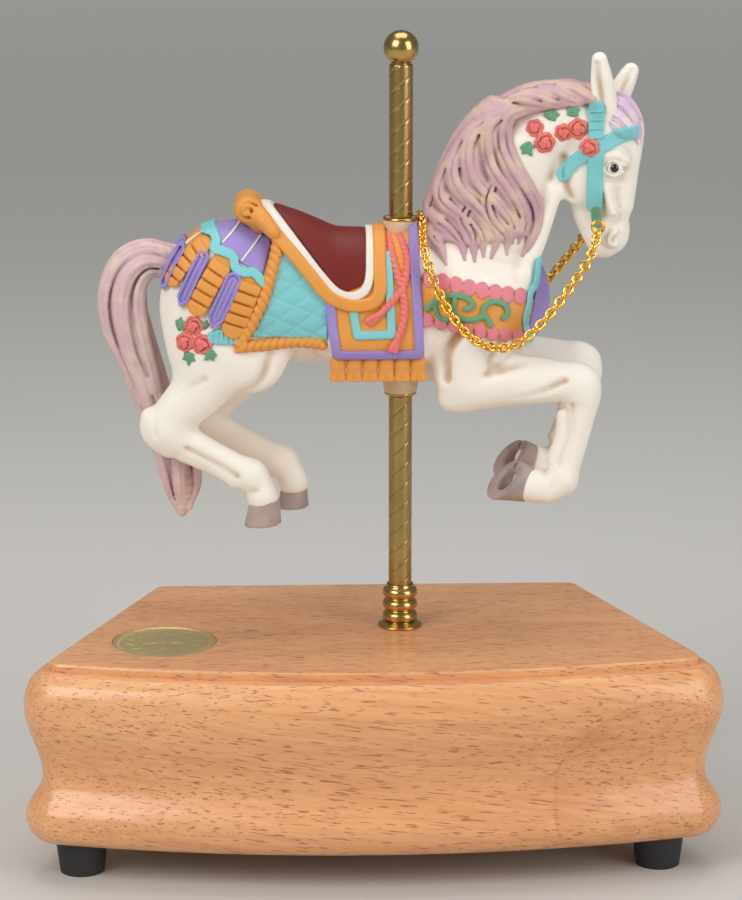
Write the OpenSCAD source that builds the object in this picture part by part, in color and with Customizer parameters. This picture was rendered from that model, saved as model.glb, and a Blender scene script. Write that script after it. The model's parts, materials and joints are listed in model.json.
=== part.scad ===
// Wind-up music box: a carousel horse that rises and falls on a brass pole over a wooden base.
// Millimetres. Origin: centre of the footprint, on the surface that the feet stand on.
// +X is the way the horse faces, +Y is the back, +Z is up. The horse is at its lowest.

/* [Base] */
// Half width of the top at its front corners
base_half_front = 87; // [85:0.5:90]
// Half width of the top at its back corners
base_half_back = 61.5; // [60:0.5:66]
// Height of the wooden block
base_h = 49.8; // [49.8:0.1:51]
// Thickness of the plate that closes the base
plate_t = 3.5; // [3.5:0.1:3.8]
// Height of the rubber feet
foot_h = 10.5; // [10.5:0.1:11]
// Diameter of the medallion
medal_d = 28.5; // [24:0.5:30]

/* [Pole] */
// Outside diameter of the pole tube
tube_d = 6.35; // [6.35:0.01:6.4]
// Radial clearance of the pole in its guide
run_gap = 0.05; // [0.03:0.01:0.08]
// Diameter of the ball finial
ball_d = 9.4; // [9:0.1:10]
// Rise of the horse
lift = 8; // [6:0.5:8]

/* [Movement] */
// Number of notes on the comb
notes = 18; // [14:1:18]
// Radius of the music cylinder
cyl_r = 6.5; // [6:0.1:6.5]
// Height of a cylinder pin
pin_h = 0.7; // [0.5:0.05:0.7]
// Teeth of the crown wheel on the spring barrel
crown_teeth = 50; // [50:1:50]

/* [Hidden] */
eps = 0.01;
$fn = 48;

// Base: heights and plan
base_z = foot_h;
top_z = base_z + base_h;
front_y = -43;
back_y = 43;
corner_r = 4;
corner_front = [base_half_front - corner_r, -28.5];
corner_back = [base_half_back - corner_r, back_y - corner_r];
bow_h = corner_front.y - front_y;
bow_r = (pow(corner_front.x, 2) + pow(bow_h, 2) - pow(corner_r, 2)) / (2 * (bow_h - corner_r));
bow_y = front_y + bow_r;
cavity_top = top_z - 9;
cavity = [[-60, -27], [60, 22.5]];
plate = [[-66, -33], [66, 27.5]];
plate_top = base_z + plate_t;

// Pole and horse
pole = [8, 1];
tube_r = tube_d / 2;
tube_bore = 2.4;
guide_r = 4.5;
guide_low = 45.5;
rod_r = 1.5;
collar_h = 12.2;
belly_z = 126;
back_z = 174.5;
ball_z = 219.8;
boss_r = 4.8;

// Movement
bed_t = 2;
bed_top = plate_top + bed_t;
shaft_z = 30;
shaft_r = 1.5;
tip_r = 1.5;
cam_gap = 0.1;
cam_low = 5;
tip_z = shaft_z + cam_low + tip_r + cam_gap;
foot_top = 41;
barrel_x = -38;
crown_r = 12.5;
pinion_teeth = 16;
pinion_r = crown_r * pinion_teeth / crown_teeth;
crown_z = shaft_z - pinion_r - 0.6;
cyl_x = [-20, -1];
note_pitch = 1;
gear_m = 0.4;
great_teeth = 36;
leaf_teeth = 12;
gov_step = gear_m * (great_teeth + leaf_teeth) / 2 + 0.08;
gov_a = 50;
gov_y = pole.y + gov_step * cos(gov_a);
gov_z = shaft_z + gov_step * sin(gov_a);
worm_m = 0.5;
worm_teeth = 24;
worm_starts = 2;
worm_r = 1.6;
worm_x = 22.5;
worm_y = gov_y + worm_m * worm_teeth / 2 + worm_r;

// Skin of rings that are wound counter-clockwise about the way they advance
module skin(rings) {
    n = len(rings[0]);
    m = len(rings);
    sides = [for (s = [0:m - 2], i = [0:n - 1]) let (j = (i + 1) % n, a = s * n, b = a + n)
        each [[a + i, b + i, b + j], [a + i, b + j, a + j]]];
    caps = [[for (i = [0:n - 1]) i], [for (i = [n - 1:-1:0]) (m - 1) * n + i]];
    polyhedron([for (r = rings) each r], concat(sides, caps), convexity = 6);
}

// Chain of balls [x, y, z, radius], each joined to the next
module limb(balls, facets = 14) {
    for (i = [0:len(balls) - 2])
        hull()
            for (b = [balls[i], balls[i + 1]])
                translate([b.x, b.y, b.z]) sphere(b[3], $fn = facets);
}

// Spur gear whose axis is +X, with a gap between two teeth pointing at angle `gap_at`
module spur(teeth, m, wide, bore, gap_at = 0) {
    step = 360 / teeth;
    pr = m * teeth / 2;
    tip = pr + 0.9 * m;
    root = pr - 1.25 * m;
    half = 0.21 * step;
    rotate([90, 0, 90])
        linear_extrude(wide)
            difference() {
                polygon([for (i = [0:teeth - 1]) let (a = gap_at + (i + 0.5) * step)
                    for (p = [[root, -1.25], [tip, -0.5], [tip, 0.5], [root, 1.25]])
                        p[0] * [cos(a + p[1] * half), sin(a + p[1] * half)]]);
                circle(bore);
            }
}

// Cylinder along +X
module rod_x(r, x0, x1, y, z) {
    translate([x0, y, z]) rotate([0, 90, 0]) cylinder(r = r, h = x1 - x0);
}

// Rounded rectangle between two corners
module round_rect(box, r) {
    a = box[0];
    b = box[1];
    translate([a.x + r, a.y]) square([b.x - a.x - 2 * r, b.y - a.y]);
    translate([a.x, a.y + r]) square([b.x - a.x, b.y - a.y - 2 * r]);
    for (x = [a.x + r, b.x - r], y = [a.y + r, b.y - r]) translate([x, y]) circle(r);
}

// ---- Base ----

// How far the moulding stands out from the top's outline at height z above the block's underside
function moulding(z) =
    let (low_bulge = 7, waist = 18, high_bulge = 37.5, lip = base_h - 2.4)
    z <= low_bulge ? 2 + 5.2 * sqrt(1 - pow(1 - z / low_bulge, 2))
    : z <= waist ? 4.8 + 2.4 * cos(180 * (z - low_bulge) / (waist - low_bulge))
    : z <= high_bulge ? 4.7 - 2.3 * cos(180 * (z - waist) / (high_bulge - waist))
    : z < lip ? 0.4 + 6.6 * sqrt(1 - pow((z - high_bulge) / (lip - high_bulge + 0.4), 2))
    : 0;

// Right half of the plan, from the middle of the front round to the back, grown by d
function half_plan(d) =
    let (a1 = atan2(corner_front.y - bow_y, corner_front.x),
        side = corner_back - corner_front, a2 = atan2(-side.x, side.y))
    concat(
        [for (i = [0:9]) let (a = -90 + (a1 + 90) * i / 10) [0, bow_y] + (bow_r + d) * [cos(a), sin(a)]],
        [for (i = [0:5]) let (a = a1 + (a2 - a1) * i / 5) corner_front + (corner_r + d) * [cos(a), sin(a)]],
        [for (i = [0:5]) let (a = a2 + (90 - a2) * i / 5) corner_back + (corner_r + d) * [cos(a), sin(a)]]);
function plan(d) =
    let (right = half_plan(d), n = len(right))
    concat(right, [for (i = [n - 1:-1:1]) [-right[i].x, right[i].y]]);

feet = [[-79.5, -26], [77.5, -26], [-52, 36], [52, 36]];
plate_holes = [[-63, -24], [63, -24], [-63, 18], [63, 18], [0, -29.9], [0, 24.4]];
medal = [-56.7, -12];

module wooden_base() {
    lip = base_h - 2.4;
    levels = [0, 0.6, 1.6, 3, 5, 7, 9, 12, 15, 18, 21.5, 25, 28.5, 31.5, 34.5, 37.5, 40, 42.5,
        44.5, 46, lip - 0.3, lip, base_h];
    color("burlywood")
        difference() {
            skin([for (z = levels) [for (p = plan(moulding(z))) [p.x, p.y, base_z + z]]]);
            translate([0, 0, base_z - eps]) linear_extrude(plate_t + eps) round_rect(plate, 5);
            translate([0, 0, base_z]) linear_extrude(cavity_top - base_z) round_rect(cavity, 6);
            translate([pole.x, pole.y, 0]) cylinder(r = guide_r, h = top_z + 1);
            translate([medal.x, medal.y, top_z - 0.8]) cylinder(d = medal_d, h = 2);
            for (p = feet) translate([p.x, p.y, base_z - 1]) cylinder(r = 1.3, h = 11);
            for (p = plate_holes) translate([p.x, p.y, base_z]) cylinder(r = 1.4, h = 12);
        }
}

module bottom_plate() {
    color("tan")
        difference() {
            translate([0, 0, base_z]) linear_extrude(plate_t) round_rect(plate, 5);
            for (p = plate_holes) translate([p.x, p.y, base_z - 1]) cylinder(r = 1.4, h = plate_t + 2);
            for (p = plate_holes) translate([p.x, p.y, base_z - eps]) cylinder(r1 = 2.9, r2 = 1.4, h = 1.5);
            for (p = bed_holes) translate([p.x, p.y, base_z - 1]) cylinder(r = 1.5, h = plate_t + 2);
            translate([barrel_x, pole.y, base_z - 1]) cylinder(r = 4, h = plate_t + 2);
        }
}

module plate_screws() {
    color("silver")
        for (p = plate_holes)
            translate([p.x, p.y, base_z])
                difference() {
                    union() {
                        cylinder(r = 1.4, h = 11.5);
                        cylinder(r1 = 2.88, r2 = 1.4, h = 1.48);
                    }
                    translate([-4, -0.3, -1]) cube([8, 0.6, 1.6]);
                }
}

module rubber_feet() {
    color("dimgray")
        for (p = feet)
            translate([p.x, p.y, 0])
                difference() {
                    cylinder(r1 = 6, r2 = 7.25, h = foot_h);
                    translate([0, 0, -1]) cylinder(r = 3, h = 5);
                    cylinder(r = 1.3, h = foot_h + 1);
                }
}

module foot_screws() {
    color("silver")
        for (p = feet)
            translate([p.x, p.y, 2.2]) {
                cylinder(r = 2.8, h = 1.8);
                cylinder(r = 1.3, h = 16);
            }
}

module medallion() {
    color("goldenrod")
        translate([medal.x, medal.y, top_z - 0.8])
            difference() {
                cylinder(d = medal_d, h = 0.65);
                translate([0, 0, 0.45])
                    difference() {
                        cylinder(d = medal_d - 2.4, h = 1);
                        translate([0, 0, -1]) cylinder(d = medal_d - 3.6, h = 3);
                    }
            }
}

// ---- Pole ----

module on_pole() {
    translate([pole.x, pole.y, 0]) children();
}

module guide_tube() {
    color("gold")
        on_pole()
            difference() {
                translate([0, 0, guide_low]) cylinder(r = guide_r, h = top_z - guide_low);
                cylinder(r = tube_r + run_gap, h = top_z + 1);
            }
}

// Flange, three round rings and a plain neck, turned in one piece
module pole_collar() {
    ring_r = 1.75;
    color("gold")
        on_pole()
            difference() {
                translate([0, 0, top_z]) {
                    cylinder(r = 6.1, h = 1.2);
                    cylinder(r = 3.9, h = collar_h);
                    for (z = [3, 6.4, 9.8])
                        translate([0, 0, z]) rotate_extrude() translate([3.1, 0]) circle(ring_r);
                }
                cylinder(r = tube_r + run_gap, h = 90);
            }
}

module pole_tube(z0, z1) {
    on_pole()
        translate([0, 0, z0])
            difference() {
                cylinder(r = tube_r, h = z1 - z0);
                translate([0, 0, -1]) cylinder(r = tube_bore, h = z1 - z0 + 2);
            }
}

module lower_pole_tube() {
    color("gold") pole_tube(foot_top, belly_z);
}

module upper_pole_tube() {
    color("gold") pole_tube(back_z, 215.6);
}

module clamp_rod() {
    color("silver")
        on_pole() translate([0, 0, foot_top - 1]) cylinder(r = rod_r, h = ball_z - 1 - foot_top);
}

// Nut that clamps the tubes from below and rides on the lift cam with its round nose
module follower_foot() {
    color("silver")
        on_pole()
            difference() {
                union() {
                    translate([0, 0, foot_top - 3]) cylinder(r = tube_r - 0.1, h = 3);
                    translate([0, 0, tip_z]) cylinder(r = tip_r, h = foot_top - tip_z - 2);
                    translate([0, 0, tip_z]) sphere(tip_r);
                }
                translate([0, 0, foot_top - 1]) cylinder(r = rod_r, h = 2);
            }
}

module ball_finial() {
    color("gold")
        on_pole()
            difference() {
                union() {
                    translate([0, 0, ball_z]) sphere(d = ball_d);
                    translate([0, 0, 215.6]) cylinder(r = 2.6, h = 2);
                }
                translate([0, 0, 215]) cylinder(r = rod_r, h = ball_z - 216);
            }
}

module belly_washer() {
    color("wheat")
        on_pole()
            difference() {
                union() {
                    translate([0, 0, belly_z]) cylinder(r1 = 4.2, r2 = boss_r, h = 2.4);
                    translate([0, 0, belly_z + 2.4]) cylinder(r = boss_r, h = 6);
                }
                cylinder(r = rod_r + 0.3, h = belly_z + 10);
            }
}

module back_washer() {
    color("wheat")
        on_pole()
            difference() {
                translate([0, 0, back_z - 10]) cylinder(r = boss_r, h = 10);
                cylinder(r = rod_r + 0.3, h = back_z + 1);
            }
}

// ---- Horse ----

// Stations along the horse's body: [x, height of the middle, half width, up, down]
body_rings = [[-55.5, 153, 5, 5, 5], [-53, 152, 11, 11, 12], [-47, 151, 15, 18, 18],
    [-38, 151, 16, 20.5, 18], [-26, 151, 16, 18, 16], [-10, 150, 16, 16.5, 14.5],
    [8, 149, 16, 19.5, 17], [22, 149, 15.5, 22.5, 18], [33, 150, 14, 16, 15],
    [41, 151, 10.5, 11.5, 10.5], [45.5, 152, 5, 5, 5]];

module body_form(grow = 0) {
    n = 24;
    translate([0, pole.y, 0])
        skin([for (s = body_rings) [for (i = [0:n - 1]) let (a = 360 * i / n)
            [s.x + grow * sign(s.x + 5) * (abs(s.x + 5) > 40 ? 1 : 0), (s[2] + grow) * cos(a),
                s[1] + ((sin(a) > 0 ? s[3] : s[4]) + grow) * sin(a)]]]);
}

// Pieces of harness are the part of a grown body form inside an outline seen from the side
module harness(outline, inner, outer, y0 = -30, y1 = 30) {
    difference() {
        intersection() {
            body_form(outer);
            translate([0, y1, 0]) rotate([90, 0, 0]) linear_extrude(y1 - y0) polygon(outline);
        }
        body_form(inner);
    }
}

module horse_body() {
    color("linen")
        difference() {
            body_form();
            translate([0, pole.y, 0])
                hull() {
                    translate([-38, 0, 151]) sphere(11, $fn = 20);
                    translate([26, 0, 150]) sphere(10.5, $fn = 20);
                }
            on_pole() cylinder(r = rod_r + 0.3, h = 200);
            on_pole() translate([0, 0, back_z - 10]) cylinder(r = boss_r, h = 20);
            on_pole() translate([0, 0, belly_z - 4]) cylinder(r = boss_r, h = 12.4);
        }
}

module head_form() {
    translate([0, pole.y, 0]) {
        limb([[28, 0, 160, 13], [33, 0, 175, 11], [38, 0, 189, 9.5], [46, 0, 200, 8.5],
            [58, -1, 198, 8], [62.5, -1.5, 189, 7.6], [63, -2, 179, 6], [64.8, -2.5, 169.5, 4.7]], 16);
        limb([[61.5, -6, 200, 3], [60.5, -7, 217, 0.8]], 12);
        limb([[64.5, 3, 199, 3.4], [68, 4.2, 206, 2.8], [70, 5, 215.5, 0.8]], 12);
    }
}

module horse_head() {
    color("linen")
        difference() {
            head_form();
            body_form();
        }
}

module near_foreleg_form() {
    translate([0, pole.y, 0])
        limb([[27, -9, 137, 9], [27, -9.5, 131, 7.5], [41, -10, 131.5, 7.2], [55.5, -9.5, 130, 5.6],
            [56, -9, 120, 4.1], [53.5, -9, 110, 3.9], [51, -9, 102.6, 4.4],
            [41.5, -9, 104, 5.2], [35.6, -9, 103.5, 4.4]]);
}

module near_foreleg() {
    color("linen")
        difference() {
            near_foreleg_form();
            body_form();
        }
}

module far_foreleg_form() {
    translate([0, pole.y, 0])
        limb([[27, 9, 137, 9], [28, 9.5, 132, 7.5], [43, 10, 133, 7.2], [57, 9.5, 131, 5.6],
            [58, 9, 121, 4.1], [55, 9, 112, 3.9], [52.5, 9, 104.6, 4.4],
            [43.5, 9, 106, 5.2], [37.5, 9, 105.5, 4.4]]);
}

module far_foreleg() {
    color("linen")
        difference() {
            far_foreleg_form();
            body_form();
        }
}

module near_hind_leg_form() {
    translate([0, pole.y, 0])
        limb([[-44, -9, 143, 9.5], [-37, -10, 135, 8.5], [-48, -10.5, 125, 6.6],
            [-56, -10.5, 119, 5.4], [-43, -10.5, 111, 3.7], [-31.5, -10.5, 103.5, 4.2],
            [-29, -10.5, 95, 5.2]]);
}

module near_hind_leg() {
    color("linen")
        difference() {
            near_hind_leg_form();
            body_form();
        }
}

module far_hind_leg_form() {
    translate([0, pole.y, 0])
        limb([[-42, 9, 143, 9.5], [-35, 10, 135, 8.5], [-43, 10.5, 126, 6.6],
            [-49, 10.5, 121, 5.4], [-35, 10.5, 113.5, 3.7], [-24, 10.5, 106.5, 4.2],
            [-21, 10.5, 98.5, 5.2]]);
}

module far_hind_leg() {
    color("linen")
        difference() {
            far_hind_leg_form();
            body_form();
        }
}

module mane_form() {
    translate([0, pole.y, 0]) {
        limb([[56, -2, 206, 5.5], [43, -3, 204.5, 7], [31, -5, 198, 9], [26, -7, 187, 9],
            [24.5, -9, 176, 9], [30, -11.5, 169.5, 6]]);
        limb([[64, -3, 206, 3], [69, -3, 203, 3], [70, -3, 199, 2.4]], 10);
    }
}

module mane() {
    color("thistle")
        difference() {
            mane_form();
            head_form();
            body_form(1.4);
        }
}

module tail() {
    color("thistle")
        difference() {
            translate([0, pole.y, 0])
                limb([[-53, 0, 161, 4.5], [-61, 0, 162.5, 5], [-66.5, 0, 156.5, 6], [-66, 0, 146, 6.8],
                    [-61.5, 0.5, 134, 6.4], [-56, 1, 121, 6.4], [-52, 1, 108, 6.6], [-51.5, 1, 94, 3]]);
            body_form(1.2);
            limb_clear();
        }
}

// Room that the tail leaves for the hind legs
module limb_clear() {
    translate([0, pole.y, 0])
        for (s = [-1, 1])
            translate([-72, s * 11 - 6, 92]) cube([50, 12, 43]);
}

saddle_side = [[-38.5, 176], [-33, 173], [-25, 167], [-12, 151.5], [-6, 148.4], [-0.3, 148.6],
    [3.2, 156], [3.6, 172], [-5, 178], [-38.5, 184]];

module saddle() {
    color("firebrick")
        difference() {
            union() {
                harness(saddle_side, 1.3, 3);
                translate([-34.4, pole.y + 8, 177.3]) rotate([90, 0, 0]) cylinder(r = 4, h = 16);
                translate([-31, pole.y - 8, 168]) cube([4, 16, 9]);
            }
            body_form(1.3);
            on_pole() translate([0, 0, 160]) cylinder(r = boss_r, h = 20);
        }
}

module saddle_blanket() {
    flap = [[-12.4, 150.5], [-10.8, 129.5], [15, 129.5], [14, 169.8], [12.5, 171], [-25, 176],
        [-38, 176], [-31.5, 166], [-37.6, 138.6], [-12, 138.6]];
    color("orange")
        difference() {
            harness(flap, 0, 1.3);
            on_pole() translate([0, 0, 100]) cylinder(r = boss_r, h = 90);
            translate([-40, pole.y - 9, 120]) cube([60, 18, 20]);
            near_hind_leg_form();
            far_hind_leg_form();
        }
}

module rump_drape() {
    drape = [[-38.2, 140], [-42, 137], [-53, 136], [-60, 150], [-54, 172], [-38.2, 175],
        [-31.8, 166]];
    color("mediumpurple")
        difference() {
            harness(drape, 0, 1.2);
            translate([-60, pole.y - 9, 120]) cube([40, 18, 30]);
            translate([-64, pole.y - 6, 140]) cube([14, 12, 30]);
            near_hind_leg_form();
            far_hind_leg_form();
        }
}

module breast_collar() {
    band = [[14.4, 148], [22, 142], [34, 140], [52, 146], [52, 163], [34, 160.5], [22, 161],
        [14.4, 165]];
    color("darkorange")
        difference() {
            harness(band, 0, 1.3);
            head_form();
            near_foreleg_form();
            far_foreleg_form();
        }
}

module head_shell() {
    translate([0, pole.y, 0])
        limb([[46, 0, 200, 9.3], [58, -1, 198, 8.8], [62.5, -1.5, 189, 8.4], [63, -2, 179, 6.8],
            [64.8, -2.5, 169.5, 5.5]], 16);
}

// Cheek straps, and one band that runs round the brow and the throat
module bridle() {
    strap = 4;
    color("turquoise")
        difference() {
            intersection() {
                head_shell();
                union() {
                    translate([60.2 - strap / 2, pole.y - 20, 174]) cube([strap, 40, 32]);
                    translate([40, pole.y - 20, 184]) rotate([0, -25, 0]) cube([40, 40, strap]);
                }
            }
            head_form();
            mane_form();
        }
}

// Two sprays of carved roses: behind the near ear, and on the near hip
roses = [[44, -12.6, 199], [47, -12.2, 193.6], [51.4, -11.4, 199.5], [56, -12.4, 202],
    [-45, -20.4, 146.4], [-50.5, -20, 142], [-45, -22.8, 138.4]];

module rose_sprays() {
    color("salmon")
        difference() {
            translate([0, pole.y, 0]) for (p = roses) translate(p) sphere(2.4, $fn = 14);
            head_form();
            body_form(1.2);
            near_hind_leg_form();
            head_shell();
            mane_form();
        }
}

// Half of the rein, from the near ring round under the chest and back over the withers
rein_route = [[60.2, -9.8, 171.4], [57.5, -13, 165], [52.5, -15.6, 158], [46, -17.6, 150], [40, -18.6, 144.5],
    [32, -19.4, 142], [25, -19.8, 145], [20, -19.6, 151.5], [16, -18, 160], [13.6, -15, 167.5],
    [13.4, -10, 172.2], [13.7, -5, 174.2], [13.9, 0, 174.9]];

function unit(v) = v / norm(v);
function tube_ring(c, way, r, n) =
    let (side = unit(cross(way, [0, 0.02, 1])), up = cross(side, way))
    [for (i = [0:n - 1]) let (a = -360 * i / n) c + r * (side * cos(a) + up * sin(a))];

module rein_chain() {
    back = [for (i = [len(rein_route) - 2:-1:1]) [rein_route[i].x, -rein_route[i].y, rein_route[i].z]];
    route = concat(rein_route, back, [[60.2, 6.2, 171.4]]);
    n = len(route);
    color("gold")
        translate([0, pole.y, 0])
            skin([for (i = [0:n - 1])
                tube_ring(route[i], unit(route[min(i + 1, n - 1)] - route[max(i - 1, 0)]), 0.9, 8)]);
}

module rein_rings() {
    color("gold")
        for (y = [-9.1, 5.4])
            translate([60.2, pole.y + y, 172.9])
                rotate([90, 0, 0]) rotate_extrude($fn = 32) translate([1.6, 0]) circle(0.4, $fn = 16);
}

// ---- Movement ----

bed_holes = [[-49, -20], [-49, 14], [25, -20]];
comb_tip = pole.y - cyl_r - pin_h - 0.1;
comb_x = [cyl_x[0] - 0.2, cyl_x[1] + 0.2];
comb_back = -24;
comb_holes = [for (x = [-18, -10.5, -3]) [x, -19.5]];

module bedplate() {
    color("silver")
        difference() {
            translate([0, 0, plate_top]) linear_extrude(bed_t) round_rect([[-53, -25], [30, 20]], 3);
            for (p = bed_holes) translate([p.x, p.y, plate_top - 1]) cylinder(r = 1.5, h = bed_t + 2);
            translate([barrel_x, pole.y, plate_top - 1]) cylinder(r = 2 + run_gap, h = bed_t + 2);
            translate([worm_x, worm_y, plate_top - 1]) cylinder(r = 0.85, h = bed_t + 2);
        }
}

module movement_screws() {
    color("gold")
        for (p = bed_holes)
            translate([p.x, p.y, base_z - 1.3])
                difference() {
                    union() {
                        cylinder(r = 2.8, h = 1.3);
                        cylinder(r = 1.5, h = 1.3 + plate_t + bed_t);
                    }
                    translate([-4, -0.35, -1]) cube([8, 0.7, 1.7]);
                }
}

module comb_base() {
    color("gray")
        difference() {
            translate([comb_x[0], comb_back, bed_top]) cube([comb_x[1] - comb_x[0], 9, shaft_z - 0.5 - bed_top]);
            for (p = comb_holes) translate([p.x, p.y, shaft_z - 8]) cylinder(r = 1, h = 10);
        }
}

module comb() {
    color("lightsteelblue")
        difference() {
            translate([comb_x[0], comb_back, shaft_z - 0.5]) cube([comb_x[1] - comb_x[0], comb_tip - comb_back, 1]);
            for (i = [1:notes - 1])
                translate([cyl_x[0] + 0.5 + i * note_pitch - 0.1, -15, shaft_z - 1])
                    cube([0.2, 20, 2]);
            for (p = comb_holes) translate([p.x, p.y, shaft_z - 1]) cylinder(r = 1, h = 2);
        }
}

module comb_screws() {
    color("gold")
        for (p = comb_holes)
            translate([p.x, p.y, shaft_z - 7]) {
                cylinder(r = 1, h = 8);
                translate([0, 0, 7.5])
                    difference() {
                        cylinder(r = 1.9, h = 1.4);
                        translate([-3, -0.25, 0.8]) cube([6, 0.5, 2]);
                    }
            }
}

// Upright plate with a hole for the shaft and a foot
module bearing(x0) {
    difference() {
        union() {
            translate([x0, pole.y - 4, bed_top]) cube([1.5, 8, shaft_z - bed_top]);
            rod_x(4, x0, x0 + 1.5, pole.y, shaft_z);
            translate([x0, pole.y - 5, bed_top]) cube([3, 10, 1.2]);
        }
        rod_x(shaft_r + 0.04, x0 - 1, x0 + 4, pole.y, shaft_z);
    }
}

module left_bearing() {
    color("gray") bearing(-22.8);
}

module centre_bearing() {
    color("gray") bearing(0.6);
}

module music_cylinder() {
    wall = 1.3;
    color("gold")
        difference() {
            rod_x(cyl_r, cyl_x[0], cyl_x[1], pole.y, shaft_z);
            rod_x(cyl_r - wall, cyl_x[0] + 1.5, cyl_x[1] - 1.5, pole.y, shaft_z);
            rod_x(shaft_r, cyl_x[0] - 1, cyl_x[1] + 1, pole.y, shaft_z);
        }
}

module cylinder_pins() {
    color("silver")
        for (k = [0:notes - 1], i = [0:2])
            translate([cyl_x[0] + 1 + k * note_pitch, pole.y, shaft_z])
                rotate([40 + (k * 47 + i * 113) % 330, 0, 0])
                    translate([0, 0, cyl_r - 0.05]) cylinder(r = 0.2, h = pin_h + 0.05, $fn = 16);
}

module cylinder_shaft() {
    color("silver") rod_x(shaft_r, -28, 18.6, pole.y, shaft_z);
}

module cylinder_pinion() {
    color("gold")
        translate([barrel_x + crown_r - 1, pole.y, shaft_z])
            spur(pinion_teeth, 2 * pinion_r / pinion_teeth, 2, shaft_r, 90 + 180 / pinion_teeth);
}

module great_wheel() {
    color("gold")
        translate([13, pole.y, shaft_z]) spur(great_teeth, gear_m, 1.5, shaft_r, gov_a);
}

// Heart-shaped cam whose pitch curve rises evenly through half a turn
module lift_cam() {
    low = cam_low + tip_r + cam_gap;
    rate = lift / PI;
    skin_r = tip_r + cam_gap;
    edge = [for (a = [0:4:178]) let (r = low + lift * a / 180, n = norm([r, rate]))
        r * [cos(a), sin(a)] - skin_r * [r * cos(a) + rate * sin(a), r * sin(a) - rate * cos(a)] / n];
    color("silver")
        translate([pole.x - 1.5, pole.y, shaft_z])
            rotate([90, 0, 90])
                rotate(90)
                    linear_extrude(3)
                        difference() {
                            polygon(concat([[low - skin_r, 0]], edge,
                                [for (i = [len(edge) - 1:-1:0]) [edge[i].x, -edge[i].y]]));
                            circle(shaft_r);
                        }
}

module spring_barrel() {
    floor_z = bed_top + 1.4;
    wall_r = 10.2;
    step = 360 / crown_teeth;
    color("goldenrod")
        translate([barrel_x, pole.y, 0])
            difference() {
                union() {
                    translate([0, 0, floor_z]) cylinder(r = wall_r + 0.8, h = crown_z - floor_z);
                    translate([0, 0, crown_z - 1.2]) cylinder(r = crown_r + 1.4, h = 1.2);
                    for (i = [0:crown_teeth - 1])
                        rotate((i + 0.5) * step)
                            translate([crown_r - 1.3, -0.24, crown_z - 0.1]) cube([2.6, 0.48, 1.1]);
                }
                translate([0, 0, floor_z + 0.8]) cylinder(r = wall_r, h = 20);
                cylinder(r = 2 + run_gap, h = 60);
            }
}

module barrel_lid() {
    color("gold")
        translate([barrel_x, pole.y, 0])
            difference() {
                translate([0, 0, crown_z - 0.9]) cylinder(r = 10.2, h = 0.8);
                cylinder(r = 2 + run_gap, h = 60);
            }
}

module mainspring() {
    turns = 6;
    strip = 0.3;
    steps = turns * 20;
    inside = [for (i = [0:steps]) let (a = 360 * turns * i / steps, r = 4.2 + 5.4 * i / steps)
        r * [cos(a), sin(a)]];
    outside = [for (i = [steps:-1:0]) let (a = 360 * turns * i / steps, r = 4.2 + strip + 5.4 * i / steps)
        r * [cos(a), sin(a)]];
    color("steelblue")
        translate([barrel_x, pole.y, bed_top + 2.8])
            linear_extrude(crown_z - bed_top - 4.3) polygon(concat(inside, outside));
}

module winding_arbor() {
    color("silver")
        translate([barrel_x, pole.y, 0]) {
            translate([0, 0, 3.4]) cylinder(r = 2, h = crown_z + 0.6 - 3.4);
            translate([0, 0, 20.5]) rotate([0, 90, 0]) cylinder(r = 0.5, h = 3.4, $fn = 16);
        }
}

module ratchet_wheel() {
    teeth = 20;
    step = 360 / teeth;
    color("gray")
        translate([barrel_x, pole.y, bed_top + 0.2])
            linear_extrude(1)
                difference() {
                    polygon([for (i = [0:teeth - 1], k = [0, 1])
                        (k == 0 ? 5.6 : 4.9) * [cos(i * step + k * 1.5), sin(i * step + k * 1.5)]]);
                    circle(2);
                }
}

module click_pawl() {
    color("gray")
        translate([barrel_x, pole.y, bed_top])
            linear_extrude(1)
                polygon([[5.75, 1.4], [6.5, 0.6], [9.5, 6], [8.4, 8], [6.9, 7.2]]);
}

// Wing key screwed on the arbor, under the base
module winding_key() {
    color("gold")
        translate([barrel_x, pole.y, 0])
            difference() {
                union() {
                    translate([0, 0, 2.6]) cylinder(r = 3.2, h = 7);
                    for (s = [-1, 1])
                        translate([s * 7.6, 0.8, 5.2])
                            rotate([90, 0, 0])
                                difference() {
                                    cylinder(r = 4.2, h = 1.6);
                                    translate([0, 0, -1]) cylinder(r = 1.9, h = 4);
                                }
                    translate([-6, -0.8, 3.4]) cube([12, 1.6, 3.6]);
                }
                translate([0, 0, 3.4]) cylinder(r = 2, h = 10);
            }
}

// Two upright cheeks and the bridge that holds the top of the fan shaft
module governor_frame() {
    cheeks = [[16.3, 17.3], [27.5, 28.5]];
    bridge_z = 44.6;
    color("gray")
        difference() {
            union() {
                for (c = cheeks)
                    translate([c[0], 0, 0])
                        rotate([90, 0, 90])
                            linear_extrude(c[1] - c[0])
                                polygon([[-4, bed_top], [18.5, bed_top], [18.5, bridge_z + 1.4],
                                    [11, bridge_z + 1.4], [3, 42], [-4, 34]]);
                translate([cheeks[0][0], 12, bridge_z]) cube([cheeks[1][1] - cheeks[0][0], 6.5, 1.4]);
            }
            rod_x(shaft_r + 0.04, 15, 20, pole.y, shaft_z);
            rod_x(1.04, 15, 30, gov_y, gov_z);
            translate([worm_x, worm_y, bridge_z - 1]) cylinder(r = 0.85, h = 4);
        }
}

module governor_axle() {
    color("silver") {
        rod_x(1, 12.1, 28.9, gov_y, gov_z);
        translate([12.4, gov_y, gov_z])
            spur(leaf_teeth, gear_m, 2.6, 1, gov_a + 180 + 180 / leaf_teeth);
    }
}

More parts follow.
